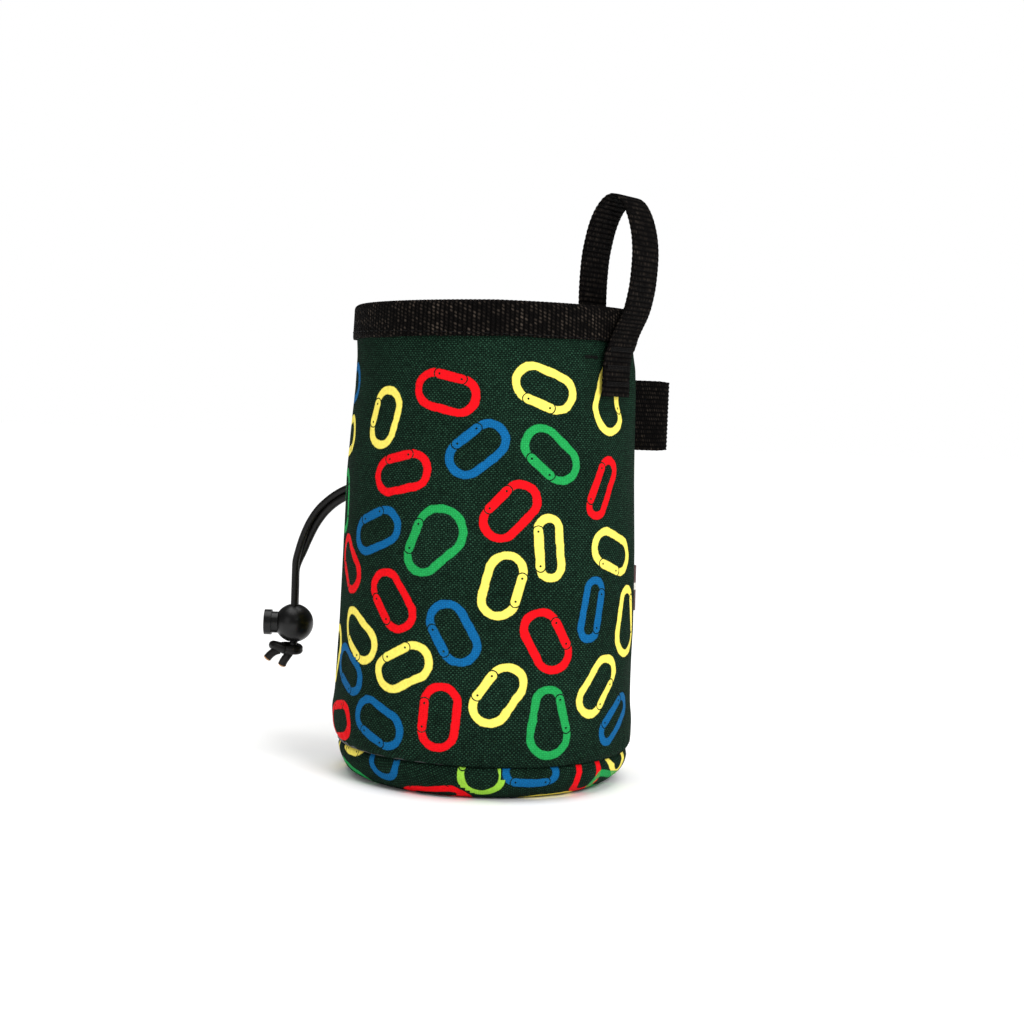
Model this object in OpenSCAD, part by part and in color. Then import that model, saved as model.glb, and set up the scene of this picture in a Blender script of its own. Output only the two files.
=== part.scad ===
// A drawstring chalk bag for climbing. It stands on its base, +Z up, with its axis on the origin.
// All sizes are in millimetres. An azimuth is measured from -Y, the front, towards +X.

/* [Body] */
// Height from the floor to the top of the rim
body_h = 184; // [160:1:230]
// Outer diameter of the printed shell at the rim
mouth_d = 107; // [95:1:130]
// Outer diameter of the printed shell at the base seam
foot_d = 115; // [100:1:140]
// Thickness of the printed shell
shell_t = 0.9; // [0.5:0.1:1.2]
// Height of the seam between the shell and the base panel
seam_h = 13; // [11:0.5:18]
// Thickness of the base panel
panel_t = 1.2; // [0.8:0.1:1.5]
// Radius of the base panel's rounded lower edge
edge_r = 11.5; // [9:0.5:11.5]
// Thickness of the board that keeps the base flat
board_t = 1.5; // [1:0.1:2.5]
// Thickness of the seam tapes
tape_t = 0.6; // [0.4:0.1:0.8]
// Width of the seam tapes
tape_w = 8; // [6:0.5:12]

/* [Lining and collar] */
// Thickness of the fleece lining
fleece_t = 2; // [1:0.1:3]
// Thickness of the collar's cloth
collar_t = 0.6; // [0.4:0.1:1]
// Room between the shell and the lining
lining_room = 1.8; // [1.8:0.1:3]
// Height of the drawcord's channel
cinch_h = 109; // [95:1:125]
// Thickness of the channel's cloth
channel_t = 0.8; // [0.6:0.1:1]
// Room round the drawcord inside its channel
channel_room = 0.4; // [0.3:0.1:0.8]

/* [Rim] */
// Height of the binding that is folded over the rim
band_h = 15; // [12:0.5:20]
// Thickness of the binding
band_t = 1.2; // [0.8:0.1:1.6]
// Thickness of the plastic hoop inside the binding
hoop_t = 1.2; // [0.8:0.1:1.2]
// Height of the plastic hoop
hoop_h = 10; // [6:0.5:12]

/* [Drawcord] */
// Diameter of the drawcord
cord_d = 3; // [2.5:0.1:3.2]
// Azimuth of the eyelet where the drawcord leaves the bag
eyelet_az = -118; // [-150:1:-100]
// Room round the two strands in the eyelet
eyelet_room = 1.1; // [0.6:0.1:1.5]
// Wall of the eyelet's barrel
eyelet_wall = 0.5; // [0.4:0.1:0.8]
// Diameter of the eyelet's flange and washer
eyelet_flange = 12; // [11:0.5:14]
// Thickness of the eyelet's flange and washer
flange_t = 0.5; // [0.3:0.1:0.6]

/* [Cord lock] */
// Azimuth that the lock's button points to
lock_az = -90; // [-120:1:-85]
// Diameter of the lock's ball
ball_d = 16; // [15.5:0.5:20]
// Diameter of the plunger's stem
stem_d = 8.9; // [8.7:0.1:9.1]
// Diameter of the plunger's head
head_d = 10.5; // [10:0.1:12]
// Thickness of the plunger's head
head_t = 3; // [2.5:0.1:6]
// Travel of the plunger
press = 2.4; // [1.5:0.1:2.4]
// Diameter of the spring's wire
wire_d = 0.5; // [0.4:0.05:0.5]

/* [Hang loop] */
// Width of the webbing
web_w = 20; // [15:1:22]
// Thickness of the webbing
web_t = 1.5; // [1:0.1:1.8]
// Azimuth of the hang loop
loop_az = 56; // [40:1:80]
// Height of the loop above the rim
loop_h = 41; // [36:1:60]
// Length of the sewn ends below the rim
tail_h = 34; // [28:1:45]

/* [Brush loop and label] */
// Azimuth of the side seam, which holds the brush loop and the label
seam_az = 100; // [90:1:130]
// Width of the brush loop's elastic
brush_w = 27.5; // [20:1:30]
// Thickness of the elastic
brush_t = 1.3; // [1:0.1:1.6]
// How far the brush loop stands out from the shell
brush_out = 16.3; // [12:0.5:20]
// Width of the gap in the brush loop
brush_gap = 7; // [6:0.5:10]
// Height of the brush loop's lower edge
brush_h = 129.5; // [118:1:140]
// Height of the label
label_h = 18; // [12:1:25]
// Length of the label round the shell
label_w = 9; // [6:1:15]
// Thickness of the folded label
label_t = 0.8; // [0.6:0.1:1.2]

/* [Hidden] */
$fn = 96;
gap = 0.3;          // between layers of cloth
seat = 0.15;        // between pieces that bear on each other
sliding_fit = 0.05; // radial clearance of the plunger in its bore

// ---- the shell's cone and the layers inside it ----

foot_r = foot_d / 2;
mouth_r = mouth_d / 2;
// The shell's outer radius at a height
function shell_r(z) = foot_r + (mouth_r - foot_r) * (z - seam_h) / (body_h - seam_h);

// How far each layer's outer face lies inside the shell's outer face
tape_in = shell_t + gap;
lining_in = shell_t + lining_room;
binding_in = lining_in + collar_t + gap;
hoop_in = shell_t + gap;

strand_part = cord_d / 2 + 0.05; // each strand's middle lies this far from the middle of the pair
channel_d = cord_d + 2 * (channel_t + channel_room);
channel_in = shell_t + 1.5; // the channel's outer face lies this far inside the shell's
channel_r = shell_r(cinch_h) - channel_in - channel_d / 2; // of the drawcord's ring
board_z = panel_t + gap;
floor_z = board_z + board_t + gap;
shell_top = body_h - band_t - gap;

// A wall of even thickness that follows the shell, from z0 to z1
module wall(z0, z1, inset, thickness, turn = 360) {
    rotate_extrude(angle = turn)
        polygon([
            [shell_r(z0) - inset - thickness, z0], [shell_r(z0) - inset, z0],
            [shell_r(z1) - inset, z1], [shell_r(z1) - inset - thickness, z1]
        ]);
}

// Half the outline of a bowl with a rounded lower edge
module half_bowl(radius, edge, height) {
    square([radius - edge, height]);
    translate([0, edge])
        square([radius, height - edge]);
    translate([radius - edge, edge])
        circle(edge);
}

module bowl(radius, edge, height, thickness) {
    rotate_extrude()
        difference() {
            intersection() {
                half_bowl(radius, edge, height);
                square([radius, height]);
            }
            translate([0, thickness])
                intersection() {
                    half_bowl(radius - thickness, edge - thickness, height);
                    square([radius, height]);
                }
        }
}

// Turns its children so that +X points out of the bag at an azimuth
module facing(azimuth) {
    rotate([0, 0, azimuth - 90])
        children();
}

// The hole in the shell for the eyelet's barrel
module eyelet_hole(diameter, from_r, to_r) {
    facing(eyelet_az)
        translate([from_r, 0, cinch_h])
            rotate([0, 90, 0])
                cylinder(h = to_r - from_r, d = diameter, $fn = 48);
}

eyelet_bore = 2 * strand_part + cord_d + eyelet_room;
barrel_d = eyelet_bore + 2 * eyelet_wall;

// The opening through the lining and the channel for the two ends of the drawcord
module cord_hole() {
    eyelet_hole(2 * cord_d + 3 * gap, channel_r, foot_r);
}

module outer_shell() {
    color([0.05, 0.13, 0.09])
        difference() {
            wall(seam_h + seat, shell_top, 0, shell_t);
            eyelet_hole(barrel_d + 2 * seat, mouth_r - 10, foot_r + 10);
        }
}

base_panel_in = 0.5; // the base panel is this much narrower than the shell at the seam

module base_panel() {
    color([0.05, 0.13, 0.09])
        bowl(foot_r - base_panel_in, edge_r, seam_h - seat, panel_t);
}

module base_board() {
    color([0.85, 0.85, 0.82])
        translate([0, 0, board_z])
            cylinder(h = board_t, r = foot_r - base_panel_in - edge_r);
}

module base_seam_tape() {
    color([0.06, 0.06, 0.06])
        wall(seam_h + gap, seam_h + gap + tape_w, tape_in, tape_t);
}

module side_seam_tape() {
    turn = tape_w / foot_r * 180 / PI;
    color([0.06, 0.06, 0.06])
        facing(seam_az - turn / 2)
            wall(seam_h + 2 * gap + tape_w, cinch_h - channel_d, tape_in, tape_t, turn);
}

module lining_floor() {
    color([0.2, 0.2, 0.21])
        translate([0, 0, floor_z])
            bowl(foot_r - base_panel_in - panel_t - gap, edge_r - floor_z,
                 seam_h - seat - floor_z, fleece_t);
}

module lining_wall() {
    color([0.2, 0.2, 0.21])
        difference() {
            wall(seam_h + seat, cinch_h - channel_d / 2 - gap, lining_in, fleece_t);
            cord_hole();
        }
}

module closure_collar() {
    color([0.08, 0.08, 0.09])
        difference() {
            wall(cinch_h + channel_d / 2 + gap, shell_top, lining_in, collar_t);
            cord_hole();
        }
}

module ring(diameter) {
    translate([0, 0, cinch_h])
        rotate_extrude()
            translate([channel_r, 0])
                circle(d = diameter, $fn = 48);
}

module cord_channel() {
    color([0.08, 0.08, 0.09])
        difference() {
            ring(channel_d);
            ring(channel_d - 2 * channel_t);
            cord_hole();
        }
}

module cord_ring() {
    color([0.03, 0.03, 0.03])
        ring(cord_d);
}

// ---- the rim ----

module rim_hoop() {
    color([0.9, 0.9, 0.88])
        wall(shell_top - gap - hoop_h, shell_top - gap, hoop_in, hoop_t);
}

module rim_binding() {
    low = body_h - band_h;
    outer = gap + band_t;              // the outer layer stands this far outside the shell
    inner = binding_in + band_t;       // the inner layer's inner face
    color([0.04, 0.04, 0.04])
        rotate_extrude()
            polygon([
                [shell_r(low) + outer, low],
                [shell_r(body_h) + outer, body_h - 2.4],
                [shell_r(body_h) + outer - 0.7, body_h - 0.7],
                [shell_r(body_h) + outer - 2.4, body_h],
                [shell_r(body_h) - inner + 2.4, body_h],
                [shell_r(body_h) - inner + 0.7, body_h - 0.7],
                [shell_r(body_h) - inner, body_h - 2.4],
                [shell_r(low) - inner, low],
                [shell_r(low) - inner + band_t, low],
                [shell_r(shell_top) - inner + band_t, body_h - band_t],
                [shell_r(shell_top) + gap, body_h - band_t],
                [shell_r(low) + gap, low]
            ]);
}

// ---- the eyelet ----

module cord_eyelet() {
    out_r = shell_r(cinch_h - eyelet_flange / 2) + 0.05;
    barrel_in = channel_r + channel_d / 2 + gap;
    color([0.1, 0.1, 0.1])
        difference() {
            union() {
                eyelet_hole(eyelet_flange, out_r, out_r + flange_t);
                eyelet_hole(barrel_d, barrel_in, out_r + flange_t);
            }
            eyelet_hole(eyelet_bore, channel_r, foot_r + 10);
        }
}

module eyelet_washer() {
    // its corners clear the shell's hollow inner face, which is nearest at the washer's top
    in_r = shell_r(cinch_h + eyelet_flange / 2) - shell_t;
    face_r = sqrt(pow(in_r, 2) - pow(eyelet_flange / 2, 2)) - 0.05;
    color([0.1, 0.1, 0.1])
        difference() {
            eyelet_hole(eyelet_flange, face_r - flange_t, face_r);
            eyelet_hole(barrel_d + 2 * sliding_fit, channel_r, foot_r);
        }
}

// ---- the free drawcord ----

// The route of the two strands' middle, in the upright plane of the eyelet: [distance out, height]
cord_route = [
    [52, 109], [56, 109], [60, 108.8], [64, 107.8], [68.5, 105.8], [73.3, 102.8],
    [78.1, 98.6], [82.2, 93.2], [85.4, 87], [87.8, 81], [89.3, 77], [90, 73],
    [90, 66], [90, 59], [90, 52], [90, 47.5], [90, 43.3]
];
lock_r = 90;         // the straight stretch that the lock slides on
lock_turn = lock_az - eyelet_az; // the lock and the knot are turned about that stretch
twist_from = 5;      // the strands start to turn about each other at this point
twist_to = 11;       // and lie side by side from this one

function last(list) = len(list) - 1;
function unit(v) = v / norm(v);
// The route's direction at a point
function along(p, i) = unit(p[min(i + 1, last(p))] - p[max(i - 1, 0)]);
// How far the pair has turned at a point, in degrees
function pair_turn(i) = (90 + lock_turn) * min(1, max(0, (i - twist_from) / (twist_to - twist_from)));
// A strand's points, with side = 1 for the upper one and -1 for the lower one
function strand(side) = [
    for (i = [0:last(cord_route)])
        let (p = cord_route[i], d = along(cord_route, i), a = pair_turn(i),
             s = side * strand_part)
            [p[0] - s * cos(a) * d[1], s * sin(a), p[1] + s * cos(a) * d[0]]
];

// A ring of points round one point of a tube
function tube_ring(p, i, d, sides) =
    let (t = along(p, i), u = unit(cross(t, [0, 1, 0])), v = cross(t, u))
        [for (k = [0:sides - 1])
            p[i] + d / 2 * (cos(360 * k / sides) * u + sin(360 * k / sides) * v)];

// The faces of a tube of rings, with flat ends
function ring_faces(rings, sides) = concat(
    [[for (k = [0:sides - 1]) k]],
    [for (i = [0:rings - 2], k = [0:sides - 1])
        [i * sides + k, (i + 1) * sides + k,
         (i + 1) * sides + (k + 1) % sides, i * sides + (k + 1) % sides]],
    [[for (k = [sides - 1:-1:0]) (rings - 1) * sides + k]]
);

module tube(p, d, sides = 8) {
    polyhedron(
        points = [for (i = [0:last(p)]) each tube_ring(p, i, d, sides)],
        faces = ring_faces(len(p), sides),
        convexity = 6
    );
}

module cord_strand_upper() {
    color([0.03, 0.03, 0.03])
        facing(eyelet_az)
            tube(strand(1), cord_d);
}

module cord_strand_lower() {
    color([0.03, 0.03, 0.03])
        facing(eyelet_az)
            tube(strand(-1), cord_d);
}

// A round bar between two points of the cord's plane
module bar(from, to, d) {
    v = to - from;
    translate(from)
        rotate([0, atan2(norm([v[0], v[1]]), v[2]), atan2(v[1], v[0])])
            cylinder(h = norm(v), d = d, $fn = 32);
}

knot_z = 40.2; // the middle of the knot's wrap
wrap_r = 2.2;   // half the wrap's height

module cord_knot() {
    color([0.03, 0.03, 0.03])
        facing(eyelet_az)
            translate([lock_r, 0, knot_z])
            rotate([0, 0, lock_turn]) {
                rotate_extrude()
                    translate([3.1, 0])
                        circle(r = wrap_r, $fn = 32);
                for (side = [-1, 1])
                    translate([0, side * strand_part, -2])
                        cylinder(h = 4.6, d = cord_d, $fn = 32);
                translate([6.2, 0, 0.2])
                    sphere(r = 2.6, $fn = 32);
                bar([5.8, 0.4, -0.4], [12, 1, -5.6], cord_d);
                bar([1, -1, -1.2], [4.8, -1.4, -7.6], cord_d);
            }
}

// ---- the cord lock ----

// Distances along the plunger are from the ball's middle
ball_r = ball_d / 2;
ball_h = knot_z + wrap_r + 2 * gap + ball_r; // the ball hangs just above the knot
pocket_end = 1.2 - ball_r;                   // of the spring's pocket
bore_end = pocket_end + 1.6;                 // of the stem's bore
pocket_d = 6;
mouth_x = sqrt(pow(ball_r, 2) - pow(stem_d / 2 + sliding_fit, 2)); // the bore's lip
head_in = mouth_x + press + gap;         // the head's inner face, at rest
cord_slot_in = -cord_d / 2 - 0.2;            // the plunger's slot clears the cord at rest
cord_slot_out = cord_d / 2 + press + 0.2;    // and when it is pressed
stem_end = cord_slot_in - 0.9;
strands_w = 2 * strand_part + cord_d;

// Places its children at the lock, with +X along the plunger and out of the ball
module at_lock() {
    facing(eyelet_az)
        translate([lock_r, 0, ball_h])
            rotate([0, 0, lock_turn])
                children();
}

module along_x(from, to, d) {
    translate([from, 0, 0])
        rotate([0, 90, 0])
            cylinder(h = to - from, d = d, $fn = 64);
}

module lock_body() {
    color([0.03, 0.03, 0.03])
        at_lock()
            difference() {
                sphere(d = ball_d);
                along_x(bore_end, ball_d, stem_d + 2 * sliding_fit);
                along_x(pocket_end, 0, pocket_d);
                for (side = [-1, 1])
                    translate([0, side * strand_part, -ball_d])
                        cylinder(h = 2 * ball_d, d = cord_d + 2 * gap, $fn = 32);
                cube([cord_d + 2 * gap, 2 * strand_part, 2 * ball_d], center = true);
            }
}

module lock_plunger() {
    color([0.03, 0.03, 0.03])
        at_lock()
            difference() {
                union() {
                    along_x(stem_end, head_in + 0.1, stem_d);
                    along_x(head_in, head_in + head_t, head_d);
                }
                translate([cord_slot_in, -strands_w / 2 - gap, -stem_d])
                    cube([cord_slot_out - cord_slot_in, strands_w + 2 * gap, 2 * stem_d]);
            }
}

spring_turns = 3;
spring_r = pocket_d / 2 - wire_d / 2 - 0.15;
spring_from = pocket_end + wire_d / 2 + 0.05;
spring_to = stem_end - wire_d / 2 - 0.05;
spring_steps = 16; // a turn

module lock_spring() {
    n = spring_turns * spring_steps;
    color([0.7, 0.7, 0.7])
        at_lock()
            tube([for (i = [0:n])
                let (a = 360 * i / spring_steps)
                    [spring_from + (spring_to - spring_from) * i / n,
                     spring_r * cos(a), spring_r * sin(a)]], wire_d, 6);
}

// ---- the hang loop ----

// The webbing's middle line: [sideways, distance, height], from its outer end over the top of the
// loop, and then to its inner end. A distance is measured out from where the webbing would lie on
// the shell's outer face, or on the collar's inner face. Heights above zero are parts of the loop's
// height. From 0 to -1 the webbing passes the rim binding, and from -1 to -2 it lies below it.
web_outside = [
    [0, 0, -2], [0, 0.1, -1.55], [0, 0.7, -1.21], [1, 1.6, -1.03], [3, 1.8, -0.77],
    [6.5, 1.9, -0.48], [9, 2.1, -0.27], [11, 2.5, 0], [11.8, 3, 0.1], [12, 3.6, 0.2],
    [12, 4.1, 0.35], [12, 4.2, 0.5], [11.6, 3.8, 0.64], [11, 2.9, 0.76], [10, 1.6, 0.87],
    [8.6, -0.2, 0.96]
];
web_inside = [
    [7, 4.2, 1], [5.4, 2.1, 0.98], [4, 0.3, 0.92], [2.6, -1.2, 0.83], [1.4, -2.3, 0.72],
    [0.6, -3.2, 0.59], [0, -3.9, 0.45], [0, -4.4, 0.3], [0, -4.6, 0.15], [0, -4.5, 0],
    [0, -4, -0.23], [0, -3.1, -0.52], [0, -2.3, -0.77], [0, -1.7, -1], [0, -0.9, -1.16],
    [0, -0.3, -1.46], [0, -0.2, -2]
];
collar_face = mouth_r - lining_in - collar_t;
web_sag = collar_face - sqrt(pow(collar_face, 2) - pow(web_w / 2, 2)); // flat webbing in a curve
web_on_shell = gap + web_t / 2;
web_on_collar = -lining_in - collar_t - gap - web_t / 2 - web_sag;

function web_height(h) = body_h + (
    h > 0 ? h * loop_h : h > -1 ? h * band_h : (h + 1) * (tail_h - band_h) - band_h
);
function web_line(list, seat_in) = [
    for (p = list)
        let (z = web_height(p[2]))
            [shell_r(min(z, body_h)) + seat_in + p[1], p[0], z]
];
web_points = concat(web_line(web_outside, web_on_shell), web_line(web_inside, web_on_collar));

// The corners of the webbing's section at a point of its middle line
function web_ring(p, i) =
    let (t = along(p, i), n = unit(cross([0, 1, 0], t)), h = web_t / 2, w = web_w / 2)
        [p[i] - h * n - [0, w, 0], p[i] + h * n - [0, w, 0],
         p[i] + h * n + [0, w, 0], p[i] - h * n + [0, w, 0]];

module webbing() {
    polyhedron(
        points = [for (i = [0:last(web_points)]) each web_ring(web_points, i)],
        faces = ring_faces(len(web_points), 4),
        convexity = 8
    );
}

// The loop leans over a line along the rim's top. Its ends are cut round this line.
lean_r = mouth_r - 2.5;
lean_cut = 10;

module lean_zone(radius) {
    translate([lean_r, 0, body_h])
        rotate([90, 0, 0])
            cylinder(h = 4 * web_w, r = radius, center = true, $fn = 64);
}

module above_rim() {
    translate([0, -2 * web_w, body_h])
        cube([2 * mouth_r, 4 * web_w, 2 * loop_h]);
}

module hang_loop() {
    color([0.04, 0.04, 0.04])
        facing(loop_az)
            difference() {
                intersection() {
                    webbing();
                    above_rim();
                }
                lean_zone(lean_cut + gap / 2);
            }
}

// The webbing's two ends. out is true for the one outside the rim.
module web_end(out) {
    color([0.04, 0.04, 0.04])
        facing(loop_az)
            difference() {
                webbing();
                translate([out ? lean_r - 4 * web_w : lean_r, -2 * web_w, 0])
                    cube([4 * web_w, 4 * web_w, 2 * body_h]);
                difference() {
                    above_rim();
                    lean_zone(lean_cut - gap / 2);
                }
            }
}

module hang_loop_outer_end() {
    web_end(true);
}

module hang_loop_inner_end() {
    web_end(false);
}

tack_w = 16;   // length of each row of bartack stitches
tack_t = 0.5;  // how far the stitches stand out of the webbing
tack_h = 1.6;

// The webbing's middle line outside the shell, as pairs of height and distance
web_profile = [for (p = web_line(web_outside, web_on_shell)) [p[2], p[0]]];

// The rows of close stitches that hold the outer end down
module hang_loop_bartacks() {
    color([0.02, 0.02, 0.02])
        facing(loop_az)
            for (below = [0.88, 0.7])
                let (z = body_h - below * tail_h)
                    translate([lookup(z, web_profile) + web_t / 2 + seat, -tack_w / 2, z])
                        cube([tack_t, tack_w, tack_h]);
}

// ---- the brush loop and the label ----

module brush_outline(half_w, tip) {
    translate([0, -half_w])
        square([tip - half_w, 2 * half_w]);
    translate([tip - half_w, 0])
        circle(half_w);
}

module brush_loop() {
    top = brush_h + brush_w;
    tip = shell_r(brush_h) + brush_out;
    half = brush_gap / 2;
    color([0.04, 0.04, 0.04])
        difference() {
            facing(seam_az)
                translate([0, 0, brush_h])
                    linear_extrude(brush_w)
                        difference() {
                            brush_outline(half + brush_t, tip);
                            brush_outline(half, tip - brush_t);
                        }
            translate([0, 0, brush_h - 1])
                cylinder(h = brush_w + 2, r1 = shell_r(brush_h - 1) + gap,
                         r2 = shell_r(top + 1) + gap);
        }
}

label_z = 65; // the label's lower edge

module side_label() {
    color([0.2, 0.05, 0.04])
        facing(seam_az)
            wall(label_z, label_z + label_h, -gap - label_t, label_t,
                 label_w / foot_r * 180 / PI);
}

// ---- output ----

outer_shell();
base_panel();
base_board();
base_seam_tape();
side_seam_tape();
lining_floor();
lining_wall();
closure_collar();
cord_channel();
cord_ring();
rim_hoop();
rim_binding();
cord_eyelet();
eyelet_washer();
cord_strand_upper();
cord_strand_lower();
cord_knot();
lock_body();
lock_plunger();
lock_spring();
hang_loop();
hang_loop_outer_end();
hang_loop_inner_end();
hang_loop_bartacks();
brush_loop();
side_label();
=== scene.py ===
"""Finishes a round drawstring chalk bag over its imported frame: printed canvas, webbing, lining, cord and stitches."""

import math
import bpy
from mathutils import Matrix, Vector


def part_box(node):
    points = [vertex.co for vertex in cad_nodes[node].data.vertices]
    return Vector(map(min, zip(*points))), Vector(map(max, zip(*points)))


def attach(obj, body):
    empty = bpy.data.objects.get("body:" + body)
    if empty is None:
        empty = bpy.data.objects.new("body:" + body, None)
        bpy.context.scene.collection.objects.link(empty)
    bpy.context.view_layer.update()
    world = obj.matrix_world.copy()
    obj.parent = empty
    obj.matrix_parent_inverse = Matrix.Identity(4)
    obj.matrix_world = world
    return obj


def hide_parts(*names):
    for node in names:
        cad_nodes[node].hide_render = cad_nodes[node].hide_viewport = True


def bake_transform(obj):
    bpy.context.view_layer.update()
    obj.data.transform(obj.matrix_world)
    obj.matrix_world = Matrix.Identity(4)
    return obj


bl_info = {
    "name": "Chalk bag maker",
    "version": (1, 0, 0),
    "blender": (4, 5, 0),
    "location": "3D View > Sidebar > Chalk bag",
    "description": "Makes the cloth, webbing, print, drawcord and stitches of a round chalk bag",
    "category": "Add Mesh",
}

import bmesh
import bpy
import numpy as np
from mathutils import Matrix

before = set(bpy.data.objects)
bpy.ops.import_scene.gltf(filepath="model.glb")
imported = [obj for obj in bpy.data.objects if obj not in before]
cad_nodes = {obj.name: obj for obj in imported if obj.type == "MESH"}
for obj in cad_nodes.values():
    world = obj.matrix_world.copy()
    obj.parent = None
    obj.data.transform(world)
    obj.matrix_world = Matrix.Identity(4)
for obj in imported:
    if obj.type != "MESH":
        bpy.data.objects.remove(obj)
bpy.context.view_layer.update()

MM = 0.001

# The bag, in millimetres. Azimuths are in degrees from the front, towards the right.
BODY_H = 184.0
SEAM_H = 13.0
FOOT_R = 57.5
MOUTH_R = 53.5
SHELL_TOP = 182.5
SHELL_T = 0.9
PANEL_R = 57.0
PANEL_T = 1.2
PANEL_EDGE = 11.5
BAND_H = 15.0
BAND_T = 1.2
COLLAR_IN = 2.7
COLLAR_T = 0.6
FLEECE_T = 2.0
CINCH_H = 109.0
CHANNEL_D = 5.4
CORD_D = 3.0
RING_R = 50.15
EYELET_AZ = -118.0
LOOP_AZ = 56.0
SIDE_SEAM_AZ = 100.0
WEB_W = 20.0
WEB_T = 1.5
LOOP_H = 41.0
TAIL_H = 34.0
LOCK_R = 90.0
LOCK_AZ = -90.0
KNOT_H = 40.2
BRUSH_H = 129.5
BRUSH_W = 27.5
BRUSH_T = 1.3
BRUSH_GAP = 7.0
BRUSH_OUT = 16.3
LABEL_H = 65.0
LAYER_GAP = 0.3     # between layers of cloth
TAPE_IN, TAPE_OUT = 1.2, 1.8   # the seam tapes' two faces, in from the wall's outside
FOLD_STEPS = 26     # of the slack sleeve's settling

# The middle of the drawcord's two strands: distance out from the bag's axis and height, in metres.
CORD_ROUTE = [
    (0.052, 0.109), (0.056, 0.109), (0.060, 0.1088), (0.064, 0.1078), (0.0685, 0.1058),
    (0.0733, 0.1028), (0.0781, 0.0986), (0.0822, 0.0932), (0.0854, 0.087), (0.0878, 0.081),
    (0.0893, 0.077), (0.09, 0.073), (0.09, 0.066), (0.09, 0.059), (0.09, 0.052),
    (0.09, 0.0475), (0.09, 0.0433),
]
STRAND_PART = 0.00149
TWIST_FROM, TWIST_TO = 5, 11

# The hang loop's webbing: sideways, distance out from its seat, and height. From 0 to 1 it stands
# over the rim, from 0 to -1 it passes the rim binding, and from -1 to -2 it is sewn down.
WEB_OUTSIDE = [
    (0, 0, -2), (0, 0.1, -1.55), (0, 0.7, -1.21), (1, 1.6, -1.03), (3, 1.8, -0.77),
    (6.5, 1.9, -0.48), (9, 2.1, -0.27), (11, 2.5, 0), (11.8, 3, 0.1), (12, 3.6, 0.2),
    (12, 4.1, 0.35), (12, 4.2, 0.5), (11.6, 3.8, 0.64), (11, 2.9, 0.76), (10, 1.6, 0.87),
    (8.6, -0.2, 0.96),
]
WEB_INSIDE = [
    (7, 4.2, 1), (5.4, 2.1, 0.98), (4, 0.3, 0.92), (2.6, -1.2, 0.83), (1.4, -2.3, 0.72),
    (0.6, -3.2, 0.59), (0, -3.9, 0.45), (0, -4.4, 0.3), (0, -4.6, 0.15), (0, -4.5, 0),
    (0, -4, -0.23), (0, -3.1, -0.52), (0, -2.3, -0.77), (0, -1.7, -1), (0, -0.9, -1.16),
    (0, -0.3, -1.46), (0, -0.2, -2),
]

# The printed outlines: radius of the lower end, radius of the upper end, and length.
OUTLINES = {
    "oval": (7.6, 7.6, 25.5),
    "slim": (5.4, 5.4, 25.0),
    "short": (7.6, 7.6, 23.8),
    "pear": (8.8, 6.2, 27.5),
    "dee": (7.4, 10.0, 28.5),
}

# The print on the wall: ink, outline, azimuth, height, tilt from level, and which side the gate is.
WALL_PRINT = [
    ("blue", "oval", -83, 151, 10, 1), ("yellow", "short", -46, 139, 76, 1),
    ("red", "oval", -18, 149, -12, 1), ("yellow", "oval", 20, 152, -21, -1),
    ("yellow", "pear", 52, 149, 84, -1), ("blue", "oval", -5, 129, 41, 1),
    ("green", "oval", 23, 128, -41, -1), ("red", "oval", -35, 119, 14, 1),
    ("red", "slim", 47, 116, 64, 1), ("red", "oval", 8, 107, 48, 1),
    ("yellow", "oval", -83, 131, 10, -1), ("green", "oval", -80, 106, 95, -1),
    ("blue", "oval", -46, 97, 23, 1), ("green", "dee", -20, 95, 57, 1),
    ("yellow", "slim", 23, 94, 95, 1), ("yellow", "oval", 54, 92, -20, -1),
    ("red", "oval", -65, 83, 138, 1), ("red", "oval", -36, 72, 126, 1),
    ("yellow", "oval", 6, 80, 76, -1), ("blue", "oval", -11, 62, 119, 1),
    ("blue", "slim", 42, 71, 79, -1), ("yellow", "pear", 65, 65, 87, -1),
    ("yellow", "oval", -54, 57, 147, 1), ("yellow", "oval", -30, 48, 29, 1),
    ("red", "oval", 23, 60, 118, -1), ("yellow", "oval", 6, 40, 56, 1),
    ("yellow", "oval", 47, 42, 54, -1), ("blue", "oval", -62, 43, 160, 1),
    ("yellow", "oval", -83, 46, 60, 1), ("red", "oval", -69, 22, 12, 1),
    ("blue", "oval", -41, 26, 157, 1), ("red", "oval", -15, 31, 86, 1),
    ("green", "pear", 25, 30, 93, -1), ("blue", "slim", 60, 28, 35, 1),
]
MATCH_SLIP = -6.0   # the two edges of the panel don't match by this much at the side seam
# How well each ink covers the threads; an ink that covers less also takes more painted shade off the thread crowns.
INK_COVER = {"yellow": 1.0, "red": 0.92, "green": 0.8, "blue": 0.78, "lime": 0.95}

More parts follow.
